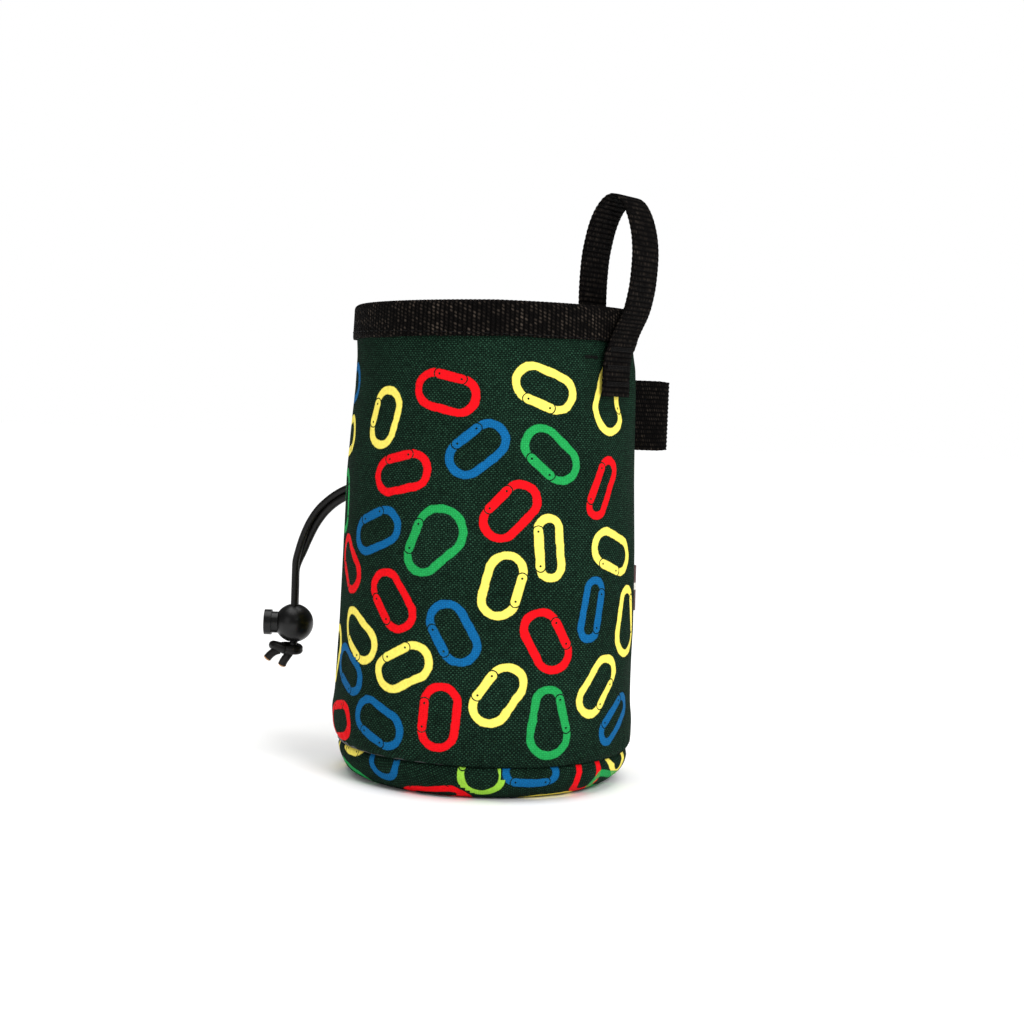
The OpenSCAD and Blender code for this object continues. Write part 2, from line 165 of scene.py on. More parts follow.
# The print on the base panel: ink, outline, azimuth, distance from the middle, tilt, gate.
BASE_PRINT = [
    ("yellow", "oval", -61, 70, -61, 1), ("blue", "pear", -40, 69, 230, 1),
    ("red", "oval", -17, 48, -24, 1), ("lime", "dee", 1, 67, 91, 1),
    ("blue", "slim", 20, 63, 22, 1), ("red", "oval", 46, 63, 132, -1),
    ("yellow", "oval", 66, 66, 100, -1), ("blue", "oval", 18, 40, 20, 1),
    ("green", "oval", -66, 50, -50, 1), ("yellow", "oval", -90, 62, 60, 1),
    ("green", "oval", -45, 31, 15, -1), ("yellow", "oval", 5, 20, 120, 1),
    ("red", "oval", 75, 32, 45, 1), ("blue", "dee", -120, 30, 70, -1),
    ("red", "oval", 165, 26, 10, 1), ("yellow", "pear", 120, 50, 150, 1),
    ("green", "oval", 100, 66, 95, 1), ("red", "oval", 145, 62, 60, -1),
    ("blue", "oval", 178, 56, 100, 1), ("yellow", "oval", -155, 62, 35, 1),
    ("red", "oval", -125, 60, 130, -1), ("green", "slim", -102, 66, 70, 1),
]
BASE_OVERPRINT = [
    ("red", "slim", -19, 50, -30, -1), ("yellow", "oval", 33, 44, 30, 1),
    ("red", "slim", 38, 43, 45, 1), ("green", "slim", 62, 54, 75, 1),
    ("yellow", "oval", 130, 28, 20, 1), ("blue", "slim", -90, 40, 30, 1),
    ("green", "slim", 160, 50, 20, 1), ("yellow", "slim", -140, 36, 80, 1),
]


def shade(red, green, blue):
    """A display colour, each part from 0 to 255, as Blender's linear colour."""
    return tuple(
        c / 12.92 if c <= 0.04045 else ((c + 0.055) / 1.055) ** 2.4
        for c in (red / 255, green / 255, blue / 255)
    )


def size(name, description, default, low=0.0, high=1.0):
    """A length that a user can change, in metres."""
    return bpy.props.FloatProperty(
        name=name, description=description, default=default, min=low, max=high,
        unit="LENGTH", subtype="DISTANCE", precision=5,
    )


def tint(name, description, *display):
    """A colour that a user can change."""
    return bpy.props.FloatVectorProperty(
        name=name, description=description, default=shade(*display), size=3,
        min=0.0, max=1.0, subtype="COLOR",
    )


class ChalkBagSizes(bpy.types.PropertyGroup):
    """Sizes of the bag's cloth, webbing and stitches"""

    thread_pitch: size("Canvas thread", "Distance between two threads of the canvas", 0.00075)
    print_stroke: size("Print stroke", "Width of the printed outlines", 0.0031)
    fold_depth: size("Fold depth", "How far the soft wall may stand out of its plain shape", 0.0008)
    pucker_depth: size("Pucker depth", "How deep the base seam puckers the cloth", 0.0003)
    band_column: size("Binding column", "Distance between the binding's columns of dots", 0.0018)
    band_dot: size("Binding dot", "Distance between two dots of a column", 0.0015)
    web_rib: size("Webbing rib", "Distance between the hang loop's cross ribs", 0.0019)
    elastic_rib: size("Elastic rib", "Distance between the brush loop's ribs", 0.0017)
    stitch_length: size("Stitch length", "Length of a stitch on the rim", 0.0026)
    stitch_gap: size("Stitch gap", "Gap between two stitches on the rim", 0.0006)
    thread_width: size("Sewing thread", "Thickness of the sewing thread", 0.0004)
    cord_width: size("Drawcord", "Diameter of the drawcord", CORD_D * MM)
    pile_height: size("Fleece pile", "Height of the lining's pile", 0.0006)


class ChalkBagColours(bpy.types.PropertyGroup):
    """Colours of the bag's cloth, inks, webbing and lining"""

    canvas: tint("Canvas", "Colour of the canvas threads", 32, 60, 45)
    # The canvas gap colour is painted shade: the dark of the hollows between the threads.
    canvas_gap_shade: tint("Canvas gaps", "Colour between the canvas threads", 3, 9, 6)
    red: tint("Red ink", "Colour of the red outlines", 234, 16, 26)
    yellow: tint("Yellow ink", "Colour of the yellow outlines", 246, 229, 102)
    blue: tint("Blue ink", "Colour of the blue outlines", 16, 100, 158)
    green: tint("Green ink", "Colour of the green outlines", 36, 162, 82)
    lime: tint("Lime ink", "Colour of the lime outline on the base", 152, 208, 66)
    webbing: tint("Webbing", "Colour of the black webbing", 5, 4, 4)
    # The webbing dot colour is a painted highlight on the raised threads of the webbing, used on the elastic too.
    webbing_dot: tint("Webbing dots", "Colour of the raised threads of the webbing", 76, 67, 59)
    elastic: tint("Elastic", "Colour of the brush loop", 6, 5, 5)
    nylon: tint("Nylon", "Colour of the collar", 30, 30, 33)
    fleece: tint("Fleece", "Colour of the lining", 74, 74, 78)
    cord: tint("Drawcord", "Colour of the drawcord", 12, 10, 9)
    melted: tint("Cut ends", "Colour of the melted cut ends of the cord", 214, 160, 104)
    lock: tint("Cord lock", "Colour of the cord lock's plastic", 6, 6, 6)
    label: tint("Label", "Colour of the label", 66, 14, 14)
    label_band: tint("Label band", "Colour of the band on the label", 222, 218, 208)


def sizes():
    return bpy.context.scene.chalk_bag_sizes


def colours():
    return bpy.context.scene.chalk_bag_colours


def ink_colour(name):
    return tuple(getattr(colours(), name))


# ---- shapes, in millimetres ----


def wall_radius(height):
    """The outer radius of the plain wall at a height."""
    return FOOT_R + (MOUTH_R - FOOT_R) * (height - SEAM_H) / (BODY_H - SEAM_H)


def spoke(azimuth):
    """The directions out of the bag and sideways along its wall at an azimuth."""
    a = math.radians(azimuth)
    return np.array([math.sin(a), -math.cos(a), 0.0]), np.array([math.cos(a), math.sin(a), 0.0])


def at_spoke(azimuth, out, sideways, height):
    """A point in millimetres from its distances at an azimuth."""
    o, s = spoke(azimuth)
    return o * out + s * sideways + np.array([0.0, 0.0, height])


def smooth_step(value, low, high):
    t = np.clip((value - low) / (high - low), 0.0, 1.0)
    return t * t * (3 - 2 * t)


def unit(v):
    return v / max(float(np.linalg.norm(v)), 1e-12)


def smooth_line(points, step, rounds=2):
    """A smooth line through given points, with points a step apart."""
    p = np.array(points, float)
    ends = np.vstack([2 * p[0] - p[1], p, 2 * p[-1] - p[-2]])
    fine = []
    for i in range(1, len(ends) - 2):
        a, b, c, d = ends[i - 1], ends[i], ends[i + 1], ends[i + 2]
        for t in np.linspace(0, 1, 16, endpoint=False):
            fine.append(0.5 * (2 * b + (c - a) * t + (2 * a - 5 * b + 4 * c - d) * t * t
                               + (3 * b - a - 3 * c + d) * t ** 3))
    fine.append(p[-1])
    fine = spaced(np.array(fine), step)
    for _ in range(rounds):
        fine[1:-1] = (fine[:-2] + 2 * fine[1:-1] + fine[2:]) / 4
    return spaced(fine, step)


def spaced(line, step):
    """The same line with its points evenly apart."""
    run = np.concatenate([[0], np.cumsum(np.linalg.norm(np.diff(line, axis=0), axis=1))])
    count = max(2, int(round(run[-1] / step)) + 1)
    at = np.linspace(0, run[-1], count)
    return np.stack([np.interp(at, run, line[:, k]) for k in range(line.shape[1])], axis=1)


def length_of(line):
    return float(np.linalg.norm(np.diff(np.asarray(line, float), axis=0), axis=1).sum())


def arc(centre, radius, start, end, count):
    """Points on part of a circle, from one angle to another in degrees."""
    return [
        (centre[0] + radius * math.cos(math.radians(a)), centre[1] + radius * math.sin(math.radians(a)))
        for a in np.linspace(start, end, count)
    ]


# ---- meshes ----


def new_piece(name, points_mm, faces, corner_uv=None):
    """A mesh object from points in millimetres, with a map in millimetres for its weave."""
    mesh = bpy.data.meshes.new(name)
    mesh.from_pydata((np.asarray(points_mm, float) * MM).tolist(), [], faces)
    if corner_uv is not None:
        layer = mesh.uv_layers.new(name="cloth")
        layer.data.foreach_set("uv", np.asarray(corner_uv, np.float32).ravel())
    piece = bpy.data.objects.new(name, mesh)
    bpy.context.scene.collection.objects.link(piece)
    mesh.shade_smooth()
    return piece


def tidy_mesh(piece, distance=0.00001):
    """Merges doubled points and turns the faces outwards."""
    shape = bmesh.new()
    shape.from_mesh(piece.data)
    bmesh.ops.remove_doubles(shape, verts=shape.verts, dist=distance)
    bmesh.ops.recalc_face_normals(shape, faces=shape.faces)
    shape.to_mesh(piece.data)
    shape.free()
    piece.data.shade_smooth()


def finish_piece(piece, body, materials, replaced=()):
    """Gives a piece its materials, and the body that it moves with."""
    for material in materials if isinstance(materials, (list, tuple)) else [materials]:
        piece.data.materials.append(material)
    if body:
        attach(piece, body)
    if replaced:
        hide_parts(*replaced)
    return piece


def run_along(values):
    """Distance along a closed line of points, one more than it has points."""
    closed = np.vstack([values, values[:1]])
    return np.concatenate([[0], np.cumsum(np.linalg.norm(np.diff(closed, axis=0), axis=1))])


def turned(name, profile, columns, shift=None, first=SIDE_SEAM_AZ, turn=360.0, uv=None):
    """A wall with a closed section, turned round the bag's axis.

    profile is the section as (radius, height). shift moves its points out by azimuth and height.
    Returns the piece, and each corner's azimuth and place in the section.
    """
    p = np.array(profile, float)
    n, whole = len(p), turn >= 360.0
    steps = columns if whole else columns + 1
    azimuth = first + turn * np.arange(steps) / columns
    radius = np.repeat(p[None, :, 0], steps, axis=0)
    if shift is not None:
        radius = radius + shift(azimuth[:, None], p[None, :, 1])
    a = np.radians(azimuth)[:, None]
    points = np.stack(
        [radius * np.sin(a), -radius * np.cos(a), np.repeat(p[None, :, 1], steps, axis=0)], axis=-1
    ).reshape(-1, 3)
    i, j = np.meshgrid(np.arange(columns), np.arange(n), indexing="ij")
    i, j = i.ravel(), j.ravel()
    i2, j2 = (i + 1) % steps, (j + 1) % n
    faces = np.stack([i * n + j, i2 * n + j, i2 * n + j2, i * n + j2], axis=1).tolist()
    corner_az = first + turn / columns * np.stack([i, i + 1, i + 1, i], axis=1)
    corner_at = np.stack([j, j, j + 1, j + 1], axis=1)
    run = run_along(p)
    if uv is None:
        flat = np.stack([np.radians(corner_az - first) * FOOT_R, run[corner_at]], axis=-1)
    else:
        flat = uv(corner_az, p[corner_at % n], run[corner_at])
    if not whole:
        faces.append(list(range(n)))
        faces.append([columns * n + k for k in reversed(range(n))])
        flat = np.concatenate([flat.reshape(-1, 2), np.tile(p, (2, 1))])
    piece = new_piece(name, points, faces, flat.reshape(-1, 2))
    return piece, corner_az, p[corner_at % n], run[corner_at]


def swept(name, line, section_at, uv_across, caps=True):
    """A piece that follows a line. section_at gives the closed section's points at each step."""
    rings = [section_at(k) for k in range(len(line))]
    n = len(rings[0])
    points = np.concatenate(rings)
    run = np.concatenate([[0], np.cumsum(np.linalg.norm(np.diff(line, axis=0), axis=1))])
    i, j = np.meshgrid(np.arange(len(line) - 1), np.arange(n), indexing="ij")
    i, j = i.ravel(), j.ravel()
    j2 = (j + 1) % n
    faces = np.stack([i * n + j, i * n + j2, (i + 1) * n + j2, (i + 1) * n + j], axis=1).tolist()
    across = np.asarray(uv_across, float)
    flat = np.stack([
        across[np.stack([j, j + 1, j + 1, j], axis=1)],
        run[np.stack([i, i, i + 1, i + 1], axis=1)],
    ], axis=-1).reshape(-1, 2)
    if caps:
        faces.append(list(reversed(range(n))))
        faces.append([(len(line) - 1) * n + k for k in range(n)])
        end = np.stack([across[:n], np.zeros(n)], axis=-1)
        flat = np.concatenate([flat, end[::-1], end + [0, run[-1]]])
    piece = new_piece(name, points, faces, flat)
    shape = bmesh.new()
    shape.from_mesh(piece.data)
    bmesh.ops.recalc_face_normals(shape, faces=shape.faces)
    shape.to_mesh(piece.data)
    shape.free()
    piece.data.shade_smooth()
    return piece


def tube_section(line, diameter, sides, swell=None):
    """Round rings along a line, which don't twist. swell gives a share of the diameter by step."""
    t = np.gradient(line, axis=0)
    t /= np.linalg.norm(t, axis=1)[:, None]
    start = np.array([0.0, 0.0, 1.0]) if abs(t[0][2]) < 0.9 else np.array([1.0, 0.0, 0.0])
    sides_at, u = [], unit(np.cross(t[0], start))
    for k in range(len(line)):
        u = unit(u - t[k] * float(u @ t[k]))
        sides_at.append((u, np.cross(t[k], u)))
    angle = np.linspace(0, 2 * math.pi, sides, endpoint=False)

    def ring(k):
        u, v = sides_at[k]
        r = diameter / 2 * (1.0 if swell is None else swell(k))
        return line[k] + r * (np.cos(angle)[:, None] * u + np.sin(angle)[:, None] * v)

    return ring


def joined(name, parts):
    """One object from several, which go."""
    bpy.ops.object.select_all(action="DESELECT")
    for part in parts:
        part.select_set(True)
    bpy.context.view_layer.objects.active = parts[0]
    bpy.ops.object.join()
    whole = bpy.context.view_layer.objects.active
    whole.name = whole.data.name = name
    whole.select_set(False)
    return whole


# ---- materials ----


class Wires:
    """Adds nodes to a tree and joins them."""

    def __init__(self, tree):
        self.tree = tree
        self.count = 0

    def node(self, kind, inputs=None, **settings):
        n = self.tree.nodes.new(kind)
        n.location = (180 * (self.count % 14), -240 * (self.count // 14))
        self.count += 1
        for key, value in settings.items():
            setattr(n, key, value)
        for key, value in (inputs or {}).items():
            self.feed(n.inputs[key], value)
        return n

    def feed(self, socket, value):
        if isinstance(value, bpy.types.NodeSocket):
            self.tree.links.new(value, socket)
        elif socket.type == "RGBA" and len(value) == 3:
            socket.default_value = (*value, 1.0)
        else:
            socket.default_value = value

    def math(self, operation, *values, clamp=False):
        n = self.node("ShaderNodeMath", operation=operation, use_clamp=clamp)
        for socket, value in zip(n.inputs, values):
            self.feed(socket, value)
        return n.outputs[0]

    def step(self, value, low, high, to_low=0.0, to_high=1.0):
        """A smooth change from one value to another."""
        n = self.node("ShaderNodeMapRange", {"Value": value, "From Min": low, "From Max": high,
                                             "To Min": to_low, "To Max": to_high},
                      interpolation_type="SMOOTHSTEP")
        return n.outputs["Result"]

    def mix(self, factor, a, b, blend="MIX"):
        """A mix of two colours."""
        n = self.node("ShaderNodeMix", data_type="RGBA", blend_type=blend)
        self.feed(n.inputs[0], factor)
        self.feed(n.inputs[6], a)
        self.feed(n.inputs[7], b)
        return n.outputs[2]

    def blend(self, factor, a, b):
        """A mix of two numbers."""
        n = self.node("ShaderNodeMix", data_type="FLOAT")
        for socket, value in zip(n.inputs[:1] + n.inputs[2:4], (factor, a, b)):
            self.feed(socket, value)
        return n.outputs[0]

    def noise(self, place, scale, detail=2.0, rough=0.5):
        n = self.node("ShaderNodeTexNoise", {"Vector": place, "Scale": scale, "Detail": detail,
                                             "Roughness": rough})
        return n.outputs["Fac"]

    def split(self, vector):
        return self.node("ShaderNodeSeparateXYZ", {"Vector": vector}).outputs[:3]

    def join(self, x, y, z=0.0):
        return self.node("ShaderNodeCombineXYZ", {"X": x, "Y": y, "Z": z}).outputs[0]

    def cloth(self):
        """The piece's own map, in millimetres."""
        return self.node("ShaderNodeUVMap", uv_map="cloth").outputs["UV"]

    def place(self):
        return self.node("ShaderNodeTexCoord").outputs["Object"]

    def bump(self, height, distance, normal=None):
        inputs = {"Height": height, "Distance": distance, "Strength": 1.0}
        if normal is not None:
            inputs["Normal"] = normal
        return self.node("ShaderNodeBump", inputs).outputs["Normal"]

    def group(self, tree, **inputs):
        n = self.node("ShaderNodeGroup", node_tree=tree)
        for key, value in inputs.items():
            self.feed(n.inputs[key.replace("_", " ")], value)
        return n.outputs


def new_group(name, inputs, outputs):
    """An empty shader group with named inputs and outputs."""
    tree = bpy.data.node_groups.new(name, "ShaderNodeTree")
    for key, kind in inputs.items():
        tree.interface.new_socket(key, in_out="INPUT", socket_type=kind)
    for key in outputs:
        tree.interface.new_socket(key, in_out="OUTPUT", socket_type="NodeSocketFloat")
    wires = Wires(tree)
    return tree, wires, wires.node("NodeGroupInput").outputs, wires.node("NodeGroupOutput").inputs


def weave_group():
    """A plain weave: raised crowns of the threads that lie over and under each other in turn."""
    name = "plain weave"
    if name in bpy.data.node_groups:
        return bpy.data.node_groups[name]
    number, vector = "NodeSocketFloat", "NodeSocketVector"
    tree, w, given, out = new_group(name, {"Place": vector, "Pitch": number},
                                    ["Height", "Crown", "Thread", "Warp"])
    wander = w.noise(given["Place"], 0.22, 2.0)
    wander2 = w.noise(given["Place"], 0.9, 1.0)
    x, y, _ = w.split(given["Place"])
    push = w.math("MULTIPLY_ADD", wander, 1.1, w.math("MULTIPLY", wander2, 0.28))
    x = w.math("DIVIDE", w.math("ADD", x, push), given["Pitch"])
    y = w.math("DIVIDE", w.math("SUBTRACT", y, push), given["Pitch"])
    across_x = w.math("ABSOLUTE", w.math("SINE", w.math("MULTIPLY", x, math.pi)))
    across_y = w.math("ABSOLUTE", w.math("SINE", w.math("MULTIPLY", y, math.pi)))
    cell_x, cell_y = w.math("FLOOR", x), w.math("FLOOR", y)
    over = w.math("FLOORED_MODULO", w.math("ADD", cell_x, cell_y), 2.0)
    up = w.math("MULTIPLY", w.math("POWER", across_x, 0.9), w.math("POWER", across_y, 0.35))
    down = w.math("MULTIPLY", w.math("POWER", across_x, 0.35), w.math("POWER", across_y, 0.9))
    crown = w.blend(over, up, down)
    each = w.node("ShaderNodeTexWhiteNoise", {"Vector": w.join(cell_x, cell_y)},
                  noise_dimensions="2D").outputs["Value"]
    lift = w.math("MULTIPLY_ADD", each, 0.45, 0.55)
    tree.links.new(w.math("MULTIPLY", crown, lift), out["Height"])
    tree.links.new(crown, out["Crown"])
    tree.links.new(each, out["Thread"])
    tree.links.new(over, out["Warp"])
    return tree


def print_group():
    """The outline of a carabiner with its gate, from a place in the outline's own frame."""
    name = "carabiner print"
    if name in bpy.data.node_groups:
        return bpy.data.node_groups[name]
    number, vector = "NodeSocketFloat", "NodeSocketVector"
    tree, w, given, out = new_group(
        name, {"Place": vector, "Shape": vector, "Stroke": number, "Wobble": number}, ["Ink", "Rim"])
    along, side, _ = w.split(given["Place"])
    low_r, high_r, span = w.split(given["Shape"])
    y = w.math("MULTIPLY_ADD", span, 0.5, along)
    x = w.math("ABSOLUTE", side)
    lean = w.math("DIVIDE", w.math("SUBTRACT", low_r, high_r), span)
    rise = w.math("SQRT", w.math("SUBTRACT", 1.0, w.math("MULTIPLY", lean, lean)))
    past = w.math("SUBTRACT", w.math("MULTIPLY", rise, y), w.math("MULTIPLY", lean, x))
    top_y = w.math("SUBTRACT", y, span)

    def reach(a, b):
        return w.math("SQRT", w.math("MULTIPLY_ADD", a, a, w.math("MULTIPLY", b, b)))

    low_end = w.math("SUBTRACT", reach(x, y), low_r)
    high_end = w.math("SUBTRACT", reach(x, top_y), high_r)
    flank = w.math("SUBTRACT", w.math("MULTIPLY_ADD", rise, x, w.math("MULTIPLY", lean, y)), low_r)
    edge = w.blend(w.math("LESS_THAN", past, 0.0), flank, low_end)
    edge = w.blend(w.math("GREATER_THAN", past, w.math("MULTIPLY", rise, span)), edge, high_end)
    edge = w.math("ADD", edge, given["Wobble"])
    half = w.math("MULTIPLY", given["Stroke"], 0.5)
    from_line = w.math("SUBTRACT", w.math("ABSOLUTE", w.math("ADD", edge, half)), half)
    # the gate is a bar along the straight flank, with a pin at each end
    bar_x = w.math("ADD", flank, half)
    half_span = w.math("MULTIPLY", span, 0.5)
    bar_over = w.math("SUBTRACT", w.math("ABSOLUTE", w.math("SUBTRACT", past, half_span)),
                      w.math("SUBTRACT", half_span, 0.7))
    bar_y = w.math("MAXIMUM", bar_over, 0.0)
    bar_edge = w.math("SUBTRACT", reach(bar_x, bar_y), w.math("ADD", half, 0.2))
    bar_edge = w.math("ADD", bar_edge, w.math("MULTIPLY", given["Wobble"], 0.6))
    gate_side = w.math("GREATER_THAN", side, 0.0)
    soft = 0.07
    line_ink = w.step(from_line, soft, -soft)
    clear = w.math("MULTIPLY", w.step(bar_edge, 0.5, 0.36), gate_side)
    body_ink = w.math("MULTIPLY", line_ink, w.math("SUBTRACT", 1.0, clear))
    gate_ink = w.math("MULTIPLY", w.step(bar_edge, soft, -soft), gate_side)
    pin = reach(bar_x, w.math("SUBTRACT", bar_over, -0.1))
    gate_ink = w.math("MULTIPLY", gate_ink, w.step(pin, 0.34, 0.5))
    tree.links.new(w.math("MAXIMUM", body_ink, gate_ink), out["Ink"])
    deepest = w.math("MINIMUM", from_line, w.blend(gate_side, 9.0, bar_edge))
    tree.links.new(w.step(deepest, -0.34, -0.02), out["Rim"])
    return tree


def dots_group():
    """Rows of raised thread dots that stand between each other, as webbing shows them."""
    name = "webbing dots"
    if name in bpy.data.node_groups:
        return bpy.data.node_groups[name]
    number, vector = "NodeSocketFloat", "NodeSocketVector"
    tree, w, given, out = new_group(
        name, {"Place": vector, "Column": number, "Dot": number, "Slant": number},
        ["Height", "Groove", "Chance"])
    wander = w.noise(given["Place"], 0.35, 1.0)
    x, y, _ = w.split(given["Place"])
    x = w.math("DIVIDE", w.math("MULTIPLY_ADD", wander, 0.5, x), given["Column"])
    cell_x = w.math("FLOOR", x)
    in_x = w.math("SUBTRACT", w.math("SUBTRACT", x, cell_x), 0.5)
    stagger = w.math("MULTIPLY", w.math("FLOORED_MODULO", cell_x, 2.0), 0.5)
    y = w.math("ADD", w.math("DIVIDE", w.math("MULTIPLY_ADD", wander, 0.4, y), given["Dot"]), stagger)
    y = w.math("MULTIPLY_ADD", in_x, given["Slant"], y)
    cell_y = w.math("FLOOR", y)
    in_y = w.math("SUBTRACT", w.math("SUBTRACT", y, cell_y), 0.5)
    round_x = w.math("MULTIPLY", in_x, 1.25)
    far = w.math("SQRT", w.math("MULTIPLY_ADD", in_x, round_x, w.math("MULTIPLY", in_y, in_y)))
    dot = w.step(far, 0.5, 0.1)
    groove = w.step(w.math("ABSOLUTE", in_x), 0.5, 0.3)
    chance = w.node("ShaderNodeTexWhiteNoise", {"Vector": w.join(cell_x, cell_y)},
                    noise_dimensions="2D").outputs["Value"]
    tree.links.new(dot, out["Height"])
    tree.links.new(groove, out["Groove"])
    tree.links.new(chance, out["Chance"])
    return tree


def new_material(name, **shader_values):
    """A material with its shader, whose constant values are set on the shader itself."""
    material = bpy.data.materials.new(name)
    material.use_nodes = True
    tree = material.node_tree
    tree.nodes.clear()
    w = Wires(tree)
    shader = w.node("ShaderNodeBsdfPrincipled")
    out = w.node("ShaderNodeOutputMaterial")
    tree.links.new(shader.outputs[0], out.inputs[0])
    for key, value in shader_values.items():
        w.feed(shader.inputs[key.replace("_", " ")], value)
    return material, w, shader.inputs


def scaled(w, colour, factor):
    """A colour that is brighter or darker by a number that changes over the surface."""
    n = w.node("ShaderNodeVectorMath", operation="SCALE")
    w.feed(n.inputs[0], colour if isinstance(colour, bpy.types.NodeSocket) else tuple(colour)[:3])
    w.feed(n.inputs["Scale"], factor)
    return n.outputs[0]


def canvas_material(name, layers):
    """Printed canvas, with painted shade in the hollows between its threads. layers are the names of the print layers,
    the lowest first.
    """
    c, s = colours(), sizes()
    material, w, shader = new_material(name, Roughness=0.85, Specular_IOR_Level=0.03)
    cloth = w.cloth()
    weave = w.group(weave_group(), Place=cloth, Pitch=s.thread_pitch / MM)
    height, crown, thread = weave["Height"], weave["Crown"], weave["Thread"]
    broad = w.noise(cloth, 0.035, 3.0, 0.6)
    slub = w.noise(cloth, 0.5, 3.0, 0.65)
    side = w.math("MULTIPLY_ADD", weave["Warp"], 0.62, 0.38)
    bright = w.math("MULTIPLY", side, w.math("MULTIPLY_ADD", thread, 0.7, 0.6))
    bright = w.math("MULTIPLY", bright, w.math("MULTIPLY_ADD", slub, 0.9, 0.55))
    bright = w.math("MULTIPLY", bright, w.math("MULTIPLY_ADD", broad, 0.8, 0.6))
    # painted shade: away from the thread crowns the colour falls to the dark gap colour
    crown_unshaded = w.step(crown, 0.2, 0.75)
    base = w.mix(crown_unshaded, tuple(c.canvas_gap_shade), scaled(w, c.canvas, bright))
    ragged = w.math("MULTIPLY_ADD", w.noise(cloth, 1.1, 2.0, 0.7), 0.5, -0.25)
    ragged = w.math("MULTIPLY_ADD", w.noise(cloth, 0.22, 1.0), 0.9, w.math("ADD", ragged, -0.45))
    ink_reach_and_gap_shade = w.math("MULTIPLY", crown_unshaded, w.math("MULTIPLY_ADD", weave["Warp"], 0.4, 0.6))
    inked = None
    for layer in layers:
        given = w.node("ShaderNodeAttribute", attribute_name=layer + "_place").outputs["Vector"]
        shape = w.node("ShaderNodeAttribute", attribute_name=layer + "_shape").outputs["Vector"]
        ink = w.node("ShaderNodeAttribute", attribute_name=layer + "_ink").outputs
        print_at = w.group(print_group(), Place=given, Shape=shape, Stroke=s.print_stroke / MM,
                           Wobble=ragged)
        mask = print_at["Ink"]
        # an ink that covers less reaches only the thread crowns and leaves the canvas's painted gap shade on the
        # threads' sides; its own colour is also darkened off the crowns as painted shade
        worn = w.blend(ink["Alpha"], ink_reach_and_gap_shade, 1.0)
        tone = w.blend(ink["Alpha"], w.math("MULTIPLY_ADD", ink_reach_and_gap_shade, 0.9, 0.35), 1.0)
        uneven = w.math("MULTIPLY_ADD", thread, 0.14, w.math("MULTIPLY_ADD", slub, 0.3, 0.76))
        tone = w.math("MULTIPLY", tone, uneven)
        tone = w.math("MULTIPLY", tone, w.math("MULTIPLY_ADD", print_at["Rim"], -0.35, 1.0))
        base = w.mix(w.math("MULTIPLY", mask, worn), base, scaled(w, ink["Color"], tone))
        inked = mask if inked is None else w.math("MAXIMUM", inked, mask)
    w.feed(shader["Base Color"], base)
    w.feed(shader["Roughness"], w.blend(inked, 0.84, 0.66))
    depth = w.math("MULTIPLY", height, w.math("MULTIPLY_ADD", inked, -0.35, 1.0))
    w.feed(shader["Normal"], w.bump(depth, 0.00016, w.bump(slub, 0.0001)))
    return material


def webbing_material(name, column, dot, slant, colour, dot_highlight_colour, depth, share, rows=False):
    """Black webbing with lines of raised dots, which run along it, or across it as rows. The dots' lighter colour is a
    painted highlight on the raised threads, and the grooves between the columns take painted shade.
    """
    material, w, shader = new_material(name, Roughness=0.7, Specular_IOR_Level=0.03)
    cloth = w.cloth()
    if rows:
        across, along, _ = w.split(cloth)
        cloth = w.join(along, across)
    dots = w.group(dots_group(), Place=cloth, Column=column, Dot=dot, Slant=slant)
    height, groove, chance = dots["Height"], dots["Groove"], dots["Chance"]
    fuzz = w.noise(cloth, 3.5, 3.0, 0.7)
    broad = w.noise(cloth, 0.15, 2.0)
    chance = w.math("MULTIPLY", chance, chance)
    amount = w.math("MULTIPLY", height, w.math("MULTIPLY_ADD", chance, 0.95, 0.05))
    amount = w.math("MULTIPLY", amount, w.step(broad, 0.3, 0.75, 0.35, 1.3))
    amount = w.math("MULTIPLY", amount, w.math("MULTIPLY_ADD", fuzz, 1.0, 0.3), clamp=True)
    # painted shade: the colour darkens in the grooves between the columns of dots
    dark = scaled(w, colour, w.math("MULTIPLY_ADD", groove, 0.7, 0.5))
    # painted highlight: the raised dots take the lighter dot colour
    w.feed(shader["Base Color"], w.mix(w.math("MULTIPLY", amount, share), dark, tuple(dot_highlight_colour)))
    w.feed(shader["Roughness"], w.math("MULTIPLY_ADD", fuzz, 0.25, 0.6))
    fine = w.bump(fuzz, 0.00005)
    w.feed(shader["Normal"], w.bump(w.math("MULTIPLY_ADD", groove, 0.6, height), depth, fine))
    return material


def nylon_material(name, colour, pitch=0.45, gloss=0.5):
    """Thin plain-woven nylon or tape, with painted shade between its threads."""
    material, w, shader = new_material(name, Sheen_Weight=0.1, Specular_IOR_Level=0.4)
    cloth = w.cloth()
    weave = w.group(weave_group(), Place=cloth, Pitch=pitch)
    crease = w.noise(cloth, 0.12, 4.0, 0.6)
    # painted shade: darker away from the thread crowns, in the hollows between threads; the per-thread part is random
    # tone
    tone = w.math("MULTIPLY_ADD", weave["Thread"], 0.4, w.math("MULTIPLY_ADD", weave["Crown"], 0.5, 0.45))
    w.feed(shader["Base Color"], scaled(w, colour, tone))
    w.feed(shader["Roughness"], w.math("MULTIPLY_ADD", crease, 0.3, gloss - 0.1))
    w.feed(shader["Normal"], w.bump(weave["Height"], 0.00007, w.bump(crease, 0.0006)))
    return material


